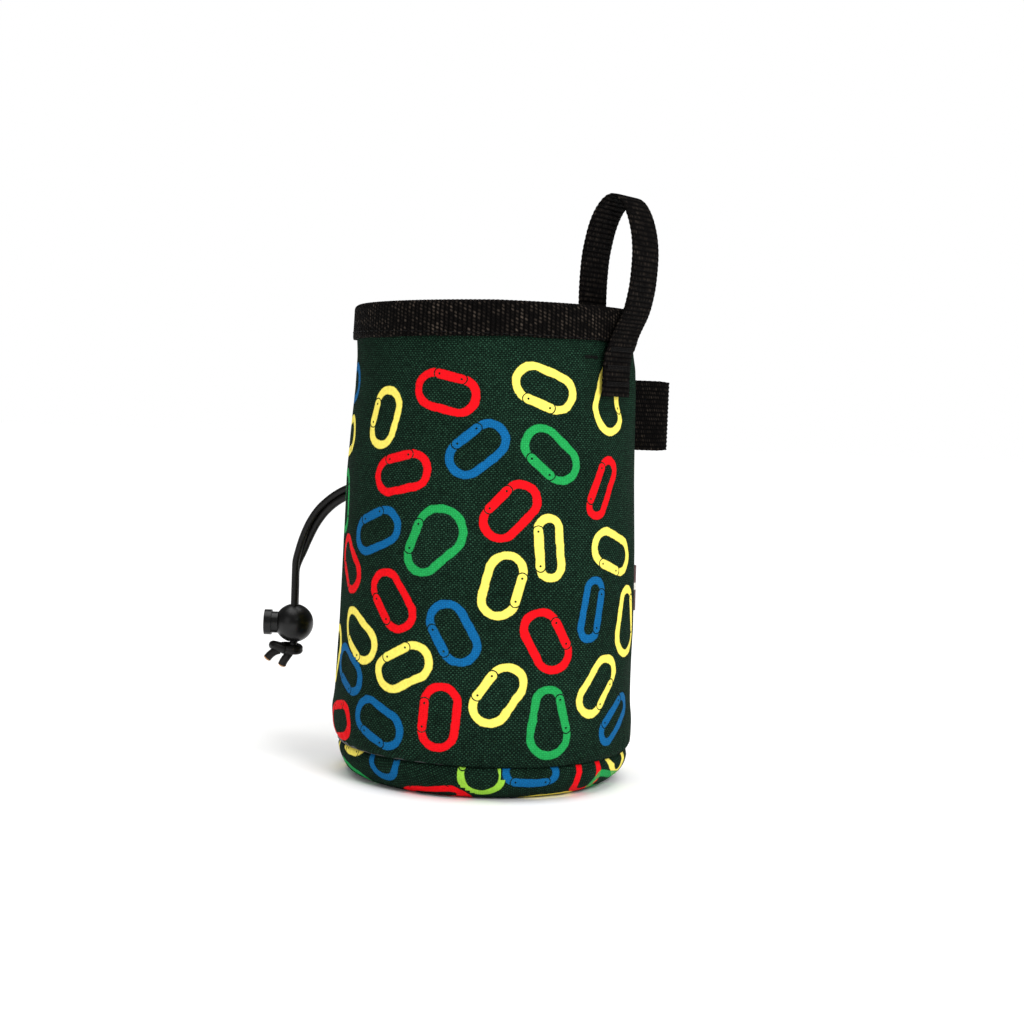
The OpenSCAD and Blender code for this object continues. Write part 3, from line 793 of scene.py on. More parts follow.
def fleece_material(name, colour):
    """Deep soft pile."""
    material, w, shader = new_material(name, Roughness=0.95, Sheen_Weight=0.5, Sheen_Roughness=0.7,
                                       Specular_IOR_Level=0.1)
    place = w.place()
    tuft = w.noise(place, 420.0, 4.0, 0.75)
    nap = w.noise(place, 60.0, 3.0, 0.6)
    tone = w.math("MULTIPLY", w.math("MULTIPLY_ADD", tuft, 1.3, 0.35), w.math("MULTIPLY_ADD", nap, 0.7, 0.65))
    w.feed(shader["Base Color"], scaled(w, colour, tone))
    w.feed(shader["Normal"], w.bump(tuft, 0.0009, w.bump(nap, 0.0015)))
    return material


def cord_material(name, colour):
    """Smooth braided cord: two sets of strands that cross on the slant, with painted shade between the strands."""
    material, w, shader = new_material(name, Specular_IOR_Level=0.25)
    x, y, _ = w.split(w.cloth())
    one = w.math("ABSOLUTE", w.math("SINE", w.math("MULTIPLY", w.math("ADD", x, y), 2.0)))
    two = w.math("ABSOLUTE", w.math("SINE", w.math("MULTIPLY", w.math("SUBTRACT", x, y), 2.0)))
    braid = w.math("MAXIMUM", one, w.math("MULTIPLY", two, 0.8))
    fibre = w.noise(w.cloth(), 2.6, 3.0, 0.7)
    # painted shade: the colour darkens between the braid's strands
    tone = w.math("MULTIPLY_ADD", braid, 0.5, w.math("MULTIPLY", fibre, 0.9))
    w.feed(shader["Base Color"], scaled(w, colour, tone))
    w.feed(shader["Roughness"], w.math("MULTIPLY_ADD", fibre, 0.25, 0.34))
    w.feed(shader["Normal"], w.bump(braid, 0.00005, w.bump(fibre, 0.00004)))
    return material


def melted_material(name, colour):
    """The hard melted face of a cut cord."""
    material, w, shader = new_material(name, Specular_IOR_Level=0.5, Coat_Weight=0.3)
    place = w.place()
    bubble = w.noise(place, 900.0, 3.0, 0.6)
    w.feed(shader["Base Color"], w.mix(w.step(bubble, 0.45, 0.7), scaled(w, colour, 0.9), shade(120, 62, 30)))
    w.feed(shader["Roughness"], w.math("MULTIPLY_ADD", bubble, 0.3, 0.2))
    w.feed(shader["Normal"], w.bump(bubble, 0.0002))
    return material


def moulded_material(name, colour, rough=0.34):
    """Satin moulded plastic with a faint grain and an uneven tone."""
    material, w, shader = new_material(name, Specular_IOR_Level=0.3, Coat_Weight=0.05, Coat_Roughness=0.3)
    place = w.place()
    grain = w.noise(place, 2600.0, 3.0, 0.6)
    flow = w.noise(place, 90.0, 3.0, 0.6)
    w.feed(shader["Base Color"], scaled(w, colour, w.math("MULTIPLY_ADD", flow, 0.8, 0.6)))
    w.feed(shader["Roughness"], w.math("MULTIPLY_ADD", flow, 0.18, rough - 0.08))
    w.feed(shader["Normal"], w.bump(grain, 0.00002, w.bump(flow, 0.0001)))
    return material


def metal_material(name, colour, rough, metallic=1.0):
    """Metal or enamel with fine scratches."""
    material, w, shader = new_material(name, Metallic=metallic)
    place = w.place()
    scratch = w.noise(place, 1400.0, 4.0, 0.7)
    wear = w.noise(place, 260.0, 3.0, 0.6)
    w.feed(shader["Base Color"], scaled(w, colour, w.math("MULTIPLY_ADD", wear, 0.5, 0.75)))
    w.feed(shader["Roughness"], w.math("MULTIPLY_ADD", scratch, 0.3, rough - 0.1))
    w.feed(shader["Normal"], w.bump(scratch, 0.00003))
    return material


def thread_material(name, colour):
    """Bonded sewing thread with its twist."""
    material, w, shader = new_material(name, Specular_IOR_Level=0.1)
    place = w.place()
    twist = w.noise(place, 3000.0, 2.0, 0.6)
    w.feed(shader["Base Color"], scaled(w, colour, w.math("MULTIPLY_ADD", twist, 1.0, 0.5)))
    w.feed(shader["Roughness"], w.math("MULTIPLY_ADD", twist, 0.3, 0.45))
    w.feed(shader["Normal"], w.bump(twist, 0.00008))
    return material


def dress_node(node, material):
    """Gives a CAD node a material in place of its plain one."""
    mesh = cad_nodes[node].data
    mesh.materials.clear()
    mesh.materials.append(material)


def shared(name, make):
    """A material that several pieces use."""
    return bpy.data.materials.get(name) or make()


def black_webbing():
    s, c = sizes(), colours()
    return shared("hang loop webbing", lambda: webbing_material(
        "hang loop webbing", s.web_rib / MM, 1.1, 0.0, c.webbing, c.webbing_dot, 0.0003, 0.6, rows=True))


def stitch_thread():
    return shared("sewing thread", lambda: thread_material("sewing thread", shade(12, 11, 11)))


def black_cord():
    return shared("black drawcord", lambda: cord_material("black drawcord", colours().cord))


# ---- the print ----


def in_outline(points, motif):
    """Places on the cloth as distances along and beside a printed outline's middle."""
    _, outline, u0, v0, tilt, gate, stretch = motif
    low_r, high_r, _ = OUTLINES[outline]
    ca, sa = math.cos(math.radians(tilt)), math.sin(math.radians(tilt))
    u, v = (points[..., 0] - u0) * stretch, points[..., 1] - v0
    return u * ca + v * sa + (high_r - low_r) / 2, (v * ca - u * sa) * gate


def lay_print(piece, layer, corners, motifs):
    """Gives each face the nearest printed outline, and each corner its place in that outline's frame.

    corners has each corner's two coordinates on the flat cloth, in millimetres. A motif is its
    ink, outline, middle on the cloth, tilt, gate side and a scale for the first coordinate.
    """
    mesh = piece.data
    count = len(corners)
    middle = corners.mean(axis=1)
    best, nearest = np.full(count, 1e9), np.zeros(count, int)
    for k, motif in enumerate(motifs):
        low_r, high_r, long = OUTLINES[motif[1]]
        along, side = in_outline(middle, motif)
        away = np.hypot(np.maximum(np.abs(along) - (long - low_r - high_r) / 2, 0), side)
        away -= (low_r + high_r) / 2
        nearer = away < best
        best[nearer], nearest[nearer] = away[nearer], k
    place = np.zeros((count, 4, 3), np.float32)
    shape = np.zeros((count, 4, 3), np.float32)
    ink_at = np.ones((count, 4, 4), np.float32)
    for k, motif in enumerate(motifs):
        mine = nearest == k
        low_r, high_r, long = OUTLINES[motif[1]]
        place[mine, :, 0], place[mine, :, 1] = in_outline(corners[mine], motif)
        shape[mine] = low_r, high_r, long - low_r - high_r
        ink_at[mine] = (*ink_colour(motif[0]), INK_COVER[motif[0]])
    total = len(mesh.loops)
    for name, kind, values in (("_place", "FLOAT_VECTOR", place), ("_shape", "FLOAT_VECTOR", shape),
                               ("_ink", "FLOAT_COLOR", ink_at)):
        attribute = mesh.attributes.new(layer + name, kind, "CORNER")
        flat = np.zeros((total, values.shape[-1]), np.float32)
        flat[:count * 4] = values.reshape(-1, values.shape[-1])
        attribute.data.foreach_set("color" if kind == "FLOAT_COLOR" else "vector", flat.ravel())


def wall_motifs():
    """The wall's print, twice round, with the panel's edges not quite matched at the side seam."""
    found = []
    for turn, slip in ((360, 0), (180, 0), (540, MATCH_SLIP), (0, 0)):
        for ink, outline, azimuth, height, tilt, gate in WALL_PRINT:
            at = azimuth + turn
            if SIDE_SEAM_AZ - 20 <= at <= SIDE_SEAM_AZ + 380:
                stretch = math.radians(1) * wall_radius(height)
                found.append((ink, outline, at, height + slip, tilt, gate, stretch))
    found.append(("green", "oval", 264, 73, 95, 1, math.radians(1) * wall_radius(73)))
    return found


# ---- folds of the soft wall ----


def slack_folds(columns=72, rows=36):
    """Soft folds from a slack sleeve of cloth that is held at the rim and at the base seam.

    Returns how far each point of the sleeve moved out, in millimetres, by column and row.
    """
    heights = np.linspace(SEAM_H + 1, BODY_H - BAND_H, rows)
    points, faces = [], []
    for i in range(columns):
        for h in heights:
            points.append(at_spoke(SIDE_SEAM_AZ + 360 * i / columns, wall_radius(h), 0, h) * MM)
    for i in range(columns):
        for j in range(rows - 1):
            i2 = (i + 1) % columns
            faces.append((i * rows + j, i2 * rows + j, i2 * rows + j + 1, i * rows + j + 1))
    mesh = bpy.data.meshes.new("slack sleeve")
    mesh.from_pydata([tuple(p) for p in points], [], faces)
    sleeve = bpy.data.objects.new("slack sleeve", mesh)
    bpy.context.scene.collection.objects.link(sleeve)
    held = sleeve.vertex_groups.new(name="held")
    for i in range(columns):
        held.add([i * rows, i * rows + rows - 1], 1.0, "REPLACE")
    modifier = sleeve.modifiers.new("slack", "CLOTH")
    cloth = modifier.settings
    cloth.quality = 8
    cloth.mass = 0.15
    cloth.tension_stiffness = cloth.compression_stiffness = 12
    cloth.bending_stiffness = 0.6
    cloth.shrink_min = cloth.shrink_max = -0.012
    cloth.vertex_group_mass = "held"
    cloth.pin_stiffness = 1.0
    cloth.effector_weights.gravity = 0.3
    modifier.point_cache.frame_start, modifier.point_cache.frame_end = 1, FOLD_STEPS
    scene = bpy.context.scene
    for step in range(1, FOLD_STEPS + 1):
        scene.frame_set(step)
    shape = sleeve.evaluated_get(bpy.context.evaluated_depsgraph_get()).to_mesh()
    co = np.zeros(len(shape.vertices) * 3)
    shape.vertices.foreach_get("co", co)
    radius = np.hypot(co[0::3], co[1::3]).reshape(columns, rows) / MM
    scene.frame_set(1)
    bpy.data.objects.remove(sleeve)
    bpy.data.meshes.remove(mesh)
    moved = radius - np.array([wall_radius(h) for h in heights])[None, :]
    moved -= moved.mean()
    for _ in range(2):
        moved = (np.roll(moved, 1, 0) + 2 * moved + np.roll(moved, -1, 0)) / 4
        moved[:, 1:-1] = (moved[:, :-2] + 2 * moved[:, 1:-1] + moved[:, 2:]) / 4
    return moved, heights


FOLDS = {}
# How the soft wall stands out of its plain cone: height, all round, and towards the right.
SAG = [
    (0, 0.1, 1.2), (13, 0.2, 1.2), (18, 1.4, 0.5), (25, 2.0, 0.2), (40, 2.0, 0.4), (60, 2.1, 0.8),
    (90, 2.1, 0.5), (116, 1.7, 0.2), (130, 1.2, 0.5), (150, 0.5, 0.9), (168, 0.1, 0.6), (176, 0, 0),
]


def sag(azimuth, height):
    rows = np.array(SAG, float)
    out = np.interp(height, rows[:, 0], rows[:, 1])
    return out + np.interp(height, rows[:, 0], rows[:, 2]) * np.sin(np.radians(azimuth))


def rim_drop(azimuth, height):
    """How far the soft rim hangs from level, in millimetres."""
    left, right = np.minimum(0, np.sin(np.radians(azimuth))), np.maximum(0, np.sin(np.radians(azimuth)))
    top = -0.7 + 1.5 * left
    foot = 0.9 + 1.7 * left + 0.4 * right
    share = np.clip((height - (BODY_H - BAND_H)) / BAND_H, 0, 1)
    return foot + (top - foot) * share


def settle_rim(piece, start):
    """Lowers what the rim holds together with it, from a height up."""
    for v in piece.data.vertices:
        height = v.co.z / MM
        if height > start:
            azimuth = math.degrees(math.atan2(v.co.x, -v.co.y))
            share = float(smooth_step(height, start, BODY_H - 4))
            v.co.z += (min(0.0, float(rim_drop(azimuth, BODY_H))) - 0.5) * share * MM


def wall_shift(azimuth, height):
    """How far the canvas wall stands out of the plain cone, in millimetres."""
    azimuth, height = np.broadcast_arrays(np.asarray(azimuth, float), np.asarray(height, float))
    s = sizes()
    depth = s.fold_depth / MM
    if "moved" in FOLDS:
        moved, rows = FOLDS["moved"]
        n = moved.shape[0]
        at = (azimuth - SIDE_SEAM_AZ) % 360.0 / 360.0 * n
        i = np.floor(at).astype(int) % n
        f = at - np.floor(at)
        v = np.clip((height - rows[0]) / (rows[-1] - rows[0]) * (len(rows) - 1), 0, len(rows) - 1.001)
        j = v.astype(int)
        g = v - j
        i2 = (i + 1) % n
        out = ((moved[i, j] * (1 - f) + moved[i2, j] * f) * (1 - g)
               + (moved[i, j + 1] * (1 - f) + moved[i2, j + 1] * f) * g)
        out = depth * np.tanh(out / depth) * smooth_step(height, SEAM_H, SEAM_H + 22)
    else:
        out = np.zeros_like(azimuth)
    a = np.radians(azimuth)
    out = out + sag(azimuth, height)
    out = out + 0.22 * np.sin(5 * a - height / 23) * np.sin(height / 31 + 1)
    out = out * (1 - smooth_step(height, 160, 171))
    gap = np.abs((azimuth - LOOP_AZ + 180) % 360 - 180)
    out = out * np.maximum(smooth_step(gap, 11, 20), 1 - smooth_step(height, 140, 148))
    gap = np.abs((azimuth - EYELET_AZ + 180) % 360 - 180) + np.abs(height - CINCH_H) / 1.2
    out = out * smooth_step(gap, 8, 18)
    # puckers along the base seam, and the wall's lower edge rolled in to meet the base
    puckers = np.sin(a * 47 + 2.1 * np.sin(a * 5)) * (0.6 + 0.4 * np.sin(a * 11 + 1))
    out = out + s.pucker_depth / MM * puckers * (1 - smooth_step(height, SEAM_H + 1, SEAM_H + 12))
    out = out - 1.1 * (1 - smooth_step(height, SEAM_H, SEAM_H + 3.2)) ** 2
    # the side seam: a fine furrow beside a soft ridge
    d = np.radians((azimuth - SIDE_SEAM_AZ + 180) % 360 - 180) * FOOT_R
    out = out - 0.45 * np.exp(-(d / 0.5) ** 2) + 0.25 * np.exp(-((d - 2.2) / 1.6) ** 2)
    return out


# ---- operators ----


class MakeCamera(bpy.types.Operator):
    """Add the camera in front of the bag"""

    bl_idname = "chalk_bag.make_camera"
    bl_label = "Camera"

    def execute(self, context):
        pitch, yaw, roll = -0.0605, 0.0131, 0.039
        level = math.cos(pitch)
        forward = np.array([math.sin(yaw) * level, math.cos(yaw) * level, math.sin(pitch)])
        right = np.array([math.cos(yaw), -math.sin(yaw), 0.0])
        up = np.cross(right, forward)
        across = math.cos(roll) * right + math.sin(roll) * up
        upwards = -math.sin(roll) * right + math.cos(roll) * up
        lens = bpy.data.cameras.new("camera")
        lens.sensor_fit, lens.sensor_width, lens.lens = "HORIZONTAL", 36.0, 62.7
        lens.clip_start, lens.clip_end = 0.01, 20.0
        camera = bpy.data.objects.new("camera", lens)
        context.scene.collection.objects.link(camera)
        turn = np.eye(4)
        turn[:3, 0], turn[:3, 1], turn[:3, 2] = across, upwards, -forward
        turn[:3, 3] = (0.0, -0.7, 0.1458)
        camera.matrix_world = Matrix(turn.tolist())
        context.scene.camera = camera
        return {"FINISHED"}


def strand_line(side):
    """The middle line of a strand of the drawcord, in millimetres."""
    p = [np.array(q) / MM for q in CORD_ROUTE]
    points = []
    for i, q in enumerate(p):
        d = unit(p[min(i + 1, len(p) - 1)] - p[max(i - 1, 0)])
        share = min(1.0, max(0.0, (i - TWIST_FROM) / (TWIST_TO - TWIST_FROM)))
        turn = math.radians(90 + LOCK_AZ - EYELET_AZ) * share
        s = side * STRAND_PART / MM
        points.append(at_spoke(EYELET_AZ, q[0] - s * math.cos(turn) * d[1], s * math.sin(turn),
                               q[1] + s * math.cos(turn) * d[0]))
    return smooth_line(points, 0.6, rounds=1)


def cord_tube(name, line, diameter=CORD_D, sides=20, rounded=(False, False)):
    """A cord along a line, with its ends rounded where asked."""
    last = len(line) - 1
    step = length_of(line) / last

    def swell(k):
        share = 1.0
        for end, at in zip(rounded, (k, last - k)):
            if end:
                d = min(at * step / (diameter * 0.35), 1.0)
                share = min(share, 0.55 + 0.45 * math.sqrt(max(0.0, 1 - (1 - d) ** 2)))
        return share

    ring = tube_section(line, diameter, sides, swell)
    across = np.linspace(0, math.pi * diameter, sides + 1)
    return swept(name, line, ring, across)


class MakeCords(bpy.types.Operator):
    """Make the two strands of the drawcord, its knot and its ring inside the channel"""

    bl_idname = "chalk_bag.make_cords"
    bl_label = "Drawcord"

    def execute(self, context):
        cord = black_cord()
        melted = melted_material("melted cord end", colours().melted)
        width = sizes().cord_width / MM
        parts = self.knot(width)
        for part in parts:
            part.data.materials.append(cord)
            part.data.materials.append(melted)
        knot = joined("cord_knot_tied", parts)
        finish_piece(knot, "bag", [], ["cord_knot"])
        for name, side, node in (("drawcord_upper", 1, "cord_strand_upper"),
                                 ("drawcord_lower", -1, "cord_strand_lower")):
            line = strand_line(side)
            piece = cord_tube(name, line, width)
            finish_piece(piece, "bag", cord, [node])
        angle = np.radians(np.linspace(0, 360, 41)[:-1])
        section = np.stack([RING_R + width / 2 * np.cos(angle), CINCH_H + width / 2 * np.sin(angle)], axis=1)
        ring, *_ = turned("drawcord_ring", section[::2], 120)
        tidy_mesh(ring)
        finish_piece(ring, "bag", cord, ["cord_ring"])
        return {"FINISHED"}

    def knot(self, width):
        """Two wraps, a bight and the two cut ends, round the two strands."""
        middle = at_spoke(EYELET_AZ, LOCK_R, 0, KNOT_H)

        def at(points):
            return np.array([middle + at_spoke(LOCK_AZ, *point) for point in points])

        wraps = []
        for k in range(57):
            a = math.radians(-40 + 810 * k / 56)
            wraps.append(((3.5 + 0.5 * math.cos(a)) * math.cos(a) + 0.5, 3.2 * math.sin(a),
                          -1.05 + 2.1 * k / 56 + 0.2 * math.cos(a)))
        tubes = [cord_tube("wraps", smooth_line(at(wraps), 0.5), width, 18)]
        bight = [(3.0, 2.7, -0.2), (5.2, 2.6, 0.5), (7.2, 1.9, 1.1), (8.4, 0.5, 1.2), (8.2, -1.0, 1.0),
                 (6.6, -2.0, 0.5), (4.2, -2.4, 0.0)]
        tubes.append(cord_tube("bight", smooth_line(at(bight), 0.4), width * 1.25, 18))
        part = STRAND_PART / MM
        for side in (-1, 1):
            run = [(0, side * part, 3.1), (0, side * part, 0.5), (0, side * 1.3, -2.0)]
            tubes.append(cord_tube("core", smooth_line(at(run), 0.5), width, 16, (False, True)))
        ends = [
            [(5.6, 1.6, -0.6), (7.6, 1.8, -1.3), (9.4, 1.7, -2.7), (10.6, 1.5, -4.2)],
            [(1.2, 2.0, -1.4), (2.4, 2.2, -3.2), (3.6, 1.9, -5.0), (4.4, 1.4, -6.7)],
        ]
        for run in ends:
            line = smooth_line(at(run), 0.4)
            tubes.append(cord_tube("cut end", line, width * 1.12, 18))
            tip, way = line[-1], unit(line[-1] - line[-3])
            cap = np.array([tip - way * 0.3, tip + way * 0.05, tip + way * 0.35, tip + way * 0.5])
            ring = tube_section(cap, width * 1.12, 18, (1.03, 1.02, 0.8, 0.3).__getitem__)
            blob = swept("melted face", cap, ring, np.linspace(0, math.pi * width, 19))
            blob.data.polygons.foreach_set("material_index", [1] * len(blob.data.polygons))
            tubes.append(blob)
        return tubes


class MakeShell(bpy.types.Operator):
    """Make the printed canvas wall, with its soft folds"""

    bl_idname = "chalk_bag.make_shell"
    bl_label = "Printed wall"

    def execute(self, context):
        FOLDS["moved"] = slack_folds()
        low, top = SEAM_H + 0.15, SHELL_TOP
        outer = np.concatenate([np.linspace(low, low + 6, 9)[:-1], np.linspace(low + 6, top, 112)])
        inner = np.concatenate([np.linspace(top, low + 6, 56), np.linspace(low + 6, low, 7)[1:]])
        profile = [(wall_radius(h), h) for h in outer] + [(wall_radius(h) - SHELL_T, h) for h in inner]

        def flat(corner_az, at, run):
            return np.stack([np.radians(corner_az - SIDE_SEAM_AZ) * FOOT_R, at[..., 1]], axis=-1)

        shell, azimuth, at, _ = turned("printed_wall", profile, 264, wall_shift, uv=flat)
        settle_rim(shell, 166)
        corners = np.stack([azimuth, at[..., 1]], axis=-1)
        lay_print(shell, "print", corners, wall_motifs())
        finish_piece(shell, "bag", canvas_material("printed canvas wall", ["print"]),
                     ["outer_shell"])
        return {"FINISHED"}


class MakeBase(bpy.types.Operator):
    """Make the printed base panel, its board and the tape inside the base seam"""

    bl_idname = "chalk_bag.make_base"
    bl_label = "Base"

    def execute(self, context):
        flat_r = PANEL_R - PANEL_EDGE
        top = SEAM_H - 0.15
        outer = [(r, 0.0) for r in np.linspace(0, flat_r, 14)]
        outer += arc((flat_r, PANEL_EDGE), PANEL_EDGE, -90, 0, 14)[1:] + [(PANEL_R, top)]
        inner_edge = PANEL_EDGE - PANEL_T
        inner = [(PANEL_R - PANEL_T, top)] + arc((flat_r, PANEL_EDGE), inner_edge, 0, -90, 12)
        inner += [(r, PANEL_T) for r in np.linspace(flat_r, 0, 8)][1:]
        bends = run_along(np.array(outer))[:-1]

        def flat(corner_az, at, run):
            far = np.interp(at[..., 1] + at[..., 0] * 10, [o[1] + o[0] * 10 for o in outer], bends)
            a = np.radians(corner_az)
            return np.stack([far * np.sin(a), -far * np.cos(a)], axis=-1)

        base, azimuth, at, _ = turned("printed_base", outer + inner, 192, self.shift, uv=flat)
        corners = flat(azimuth, at, None)
        for layer, rows in (("print", BASE_PRINT), ("over", BASE_OVERPRINT)):
            motifs = []
            for ink, outline, az, far, tilt, gate in rows:
                a = math.radians(az)
                motifs.append((ink, outline, far * math.sin(a), -far * math.cos(a), tilt, gate, 1.0))
            lay_print(base, layer, corners, motifs)
        tidy_mesh(base)
        finish_piece(base, "bag",
                     canvas_material("printed canvas base", ["print", "over"]), ["base_panel"])
        tape = nylon_material("seam tape", shade(26, 26, 27), 0.6)
        section = [(wall_radius(h) - TAPE_IN, h) for h in np.linspace(13.3, 21.3, 8)]
        section += [(wall_radius(h) - TAPE_OUT, h) for h in np.linspace(21.3, 13.3, 8)]
        piece, *_ = turned("base_seam_binding", section, 160)
        tidy_mesh(piece)
        finish_piece(piece, "bag", tape, ["base_seam_tape"])
        low, high = 21.6, CINCH_H - CHANNEL_D
        turn = 8 / FOOT_R * 180 / math.pi
        section = [(wall_radius(h) - TAPE_IN, h) for h in np.linspace(low, high, 60)]
        section += [(wall_radius(h) - TAPE_OUT, h) for h in np.linspace(high, low, 60)]
        piece, *_ = turned("side_seam_binding", section, 12, first=SIDE_SEAM_AZ - turn / 2, turn=turn)
        tidy_mesh(piece)
        finish_piece(piece, "bag", tape, ["side_seam_tape"])
        dress_node("base_board", moulded_material("base board", shade(206, 206, 200), 0.5))
        return {"FINISHED"}

    @staticmethod
    def shift(azimuth, height):
        """Puckers and the rolled upper edge of the base panel."""
        a = np.radians(azimuth)
        puckers = np.sin(a * 47 + 2.1 * np.sin(a * 5) + 0.6) * (0.6 + 0.4 * np.sin(a * 11 + 1))
        out = sizes().pucker_depth / MM * (puckers - 0.4) * smooth_step(height, 2, 12)
        soft = 0.4 * np.sin(3 * a + 1.2) * np.sin(7 * a) * smooth_step(height, 1, 6)
        out = out + soft + (1.1 * np.sin(a) - 0.1) * smooth_step(height, 1, 6)
        return out - 0.9 * smooth_step(height, 9.5, 12.85) ** 2


class MakeRim(bpy.types.Operator):
    """Make the webbing that is folded over the rim, and its hoop"""

    bl_idname = "chalk_bag.make_rim"
    bl_label = "Rim binding"

    def execute(self, context):
        s, c = sizes(), colours()
        low = BODY_H - BAND_H
        out, inside, bend = 1.5, 4.8, 2.3
        top_out, top_in = MOUTH_R + out, MOUTH_R - inside
        profile = [(wall_radius(h) + out - 0.25 * (1 - smooth_step(h, low, low + 1.2)), h)
                   for h in np.linspace(low, BODY_H - bend, 14)]
        profile += arc((top_out - bend, BODY_H - bend), bend, 0, 90, 9)[1:]
        profile += arc((top_in + bend, BODY_H - bend), bend, 90, 180, 9)
        profile += [(wall_radius(h) - inside, h) for h in np.linspace(BODY_H - bend, low, 12)[1:]]
        hollow_out, hollow_in, roof = 0.3, inside - BAND_T, BODY_H - BAND_T
        profile += [(wall_radius(low) - hollow_in, low), (MOUTH_R - hollow_in, roof - 1.0),
                    (MOUTH_R - hollow_in + 0.6, roof - 0.1), (MOUTH_R + hollow_out - 0.6, roof - 0.1),
                    (MOUTH_R + hollow_out, roof - 1.0), (wall_radius(low) + hollow_out, low)]
        column = s.band_column / MM

        def shift(azimuth, height):
            a = np.radians(azimuth)
            cell = np.sin(a * FOOT_R / column * math.pi * 2)  # the columns show as fine scallops
            edge = smooth_step(height, BODY_H - 2.6, BODY_H - 0.6)
            return 0.09 * cell * edge + 0.1 * np.sin(7 * a + 0.5) * (1 - smooth_step(height, low, low + 8))

        band, *_ = turned("rim_webbing", profile, 720, shift)
        lift = bmesh.new()
        lift.from_mesh(band.data)
        for v in lift.verts:
            a = math.atan2(v.co.x, -v.co.y)
            wave = math.sin(a * FOOT_R / column * 2 * math.pi)
            v.co.z += float(rim_drop(math.degrees(a), v.co.z / MM)) * MM
            if v.co.z > (BODY_H - 3.0) * MM:
                v.co.z -= 0.00014 * (0.5 - 0.5 * wave)
            elif v.co.z < (low + 1.5) * MM:
                v.co.z += 0.00016 * (0.5 - 0.5 * wave) + 0.0002 * math.sin(5 * a + 1) ** 2
        bmesh.ops.recalc_face_normals(lift, faces=lift.faces)
        lift.to_mesh(band.data)
        lift.free()
        band.data.shade_smooth()
        material = webbing_material("rim webbing", column, s.band_dot / MM, 0.5, c.webbing, c.webbing_dot,
                                    depth=0.0003, share=0.95)
        finish_piece(band, "bag", material, ["rim_binding"])
        section = [(wall_radius(h) - 0.95, h) for h in np.linspace(172.2, 181.2, 12)]
        section += [(wall_radius(h) - 2.1, h) for h in np.linspace(181.2, 172.2, 12)]
        hoop, *_ = turned("rim_stiffener", section, 180)
        tidy_mesh(hoop)
        settle_rim(hoop, 166)
        finish_piece(hoop, "bag",
                     moulded_material("hoop plastic", shade(222, 222, 218), 0.45), ["rim_hoop"])
        return {"FINISHED"}


class MakeLining(bpy.types.Operator):
    """Make the fleece lining, the nylon collar and the drawcord's channel"""

    bl_idname = "chalk_bag.make_lining"
    bl_label = "Lining and collar"

    def execute(self, context):
        c = colours()
        pile = sizes().pile_height / MM
        fleece = fleece_material("grey fleece", c.fleece)
        nylon = nylon_material("collar nylon", c.nylon)
        top = CINCH_H - CHANNEL_D / 2 - LAYER_GAP

        def section(low, high, outside, thick, steps):
            p = [(wall_radius(h) - outside, h) for h in np.linspace(low, high, steps)]
            return p + [(wall_radius(h) - outside - thick, h) for h in np.linspace(high, low, steps)]

        def nap(azimuth, height):
            a = np.radians(azimuth)
            return pile * 0.5 * (np.sin(a * 61 + height * 1.7) * np.sin(height * 1.3 + a * 23)
                                 + 0.6 * np.sin(a * 13 + height / 5)) - 0.1

        lining, *_ = turned("fleece_wall", section(SEAM_H + 0.15, top, COLLAR_IN + LAYER_GAP, FLEECE_T - 0.4, 70),
                            240, nap)
        tidy_mesh(lining)
        finish_piece(lining, "bag", fleece, ["lining_wall"])

        flat_r, edge, floor = PANEL_R - PANEL_EDGE, PANEL_EDGE - 3.3, 3.3
        out_r = PANEL_R - PANEL_T - 0.3 - 1.2
        outer = [(r, floor) for r in np.linspace(0, out_r - edge, 16)]
        outer += arc((out_r - edge, floor + edge), edge, -90, 0, 10)[1:] + [(out_r, 12.85)]
        thick = FLEECE_T - 0.2
        inner = [(out_r - thick, 12.85)] + arc((out_r - edge, floor + edge), edge - thick, 0, -90, 10)
        inner += [(r, floor + thick) for r in np.linspace(out_r - edge, 0, 16)][1:]
        pad, *_ = turned("fleece_floor", outer + inner, 120)
        tidy_mesh(pad)
        for v in pad.data.vertices:
            if v.co.z > (floor + 1) * MM:
                x, y = v.co.x / MM, v.co.y / MM
                v.co.z += 0.00025 * (math.sin(x * 0.9 + math.sin(y * 0.5)) * math.sin(y * 0.8) - 0.6)
        finish_piece(pad, "bag", fleece, ["lining_floor"])

        def gathers(azimuth, height):
            a = np.radians(azimuth)
            low = 1 - smooth_step(height, 112, 165)
            fold = np.sin(a * 31 + 1.6 * np.sin(a * 4) + height / 40)
            soft = np.sin(a * 9 + height / 17)
            out = -low * (1.1 + 1.1 * fold) - 0.35 * (1 + soft) * (1 - smooth_step(height, 150, 168))
            gap = np.abs((azimuth - LOOP_AZ + 180) % 360 - 180)
            return out * np.maximum(smooth_step(gap, 15, 23), 1 - smooth_step(height, 140, 148))

        collar, *_ = turned("nylon_collar", section(112.0, SHELL_TOP, COLLAR_IN, COLLAR_T, 64),
                            360, gathers)
        tidy_mesh(collar)
        settle_rim(collar, 166)
        finish_piece(collar, "bag", nylon, ["closure_collar"])

        angle = np.radians(np.linspace(0, 360, 25)[:-1])
        tube = np.stack([RING_R + 2.55 * np.cos(angle), CINCH_H + 2.55 * np.sin(angle)], axis=1)

        def puckers(azimuth, height):
            a = np.radians(azimuth)
            return 0.13 * np.sin(a * 96 + 1.5 * np.sin(a * 7))

        channel, *_ = turned("gathered_channel", tube, 480, puckers)
        tidy_mesh(channel)
        finish_piece(channel, "bag", nylon, ["cord_channel"])
        return {"FINISHED"}


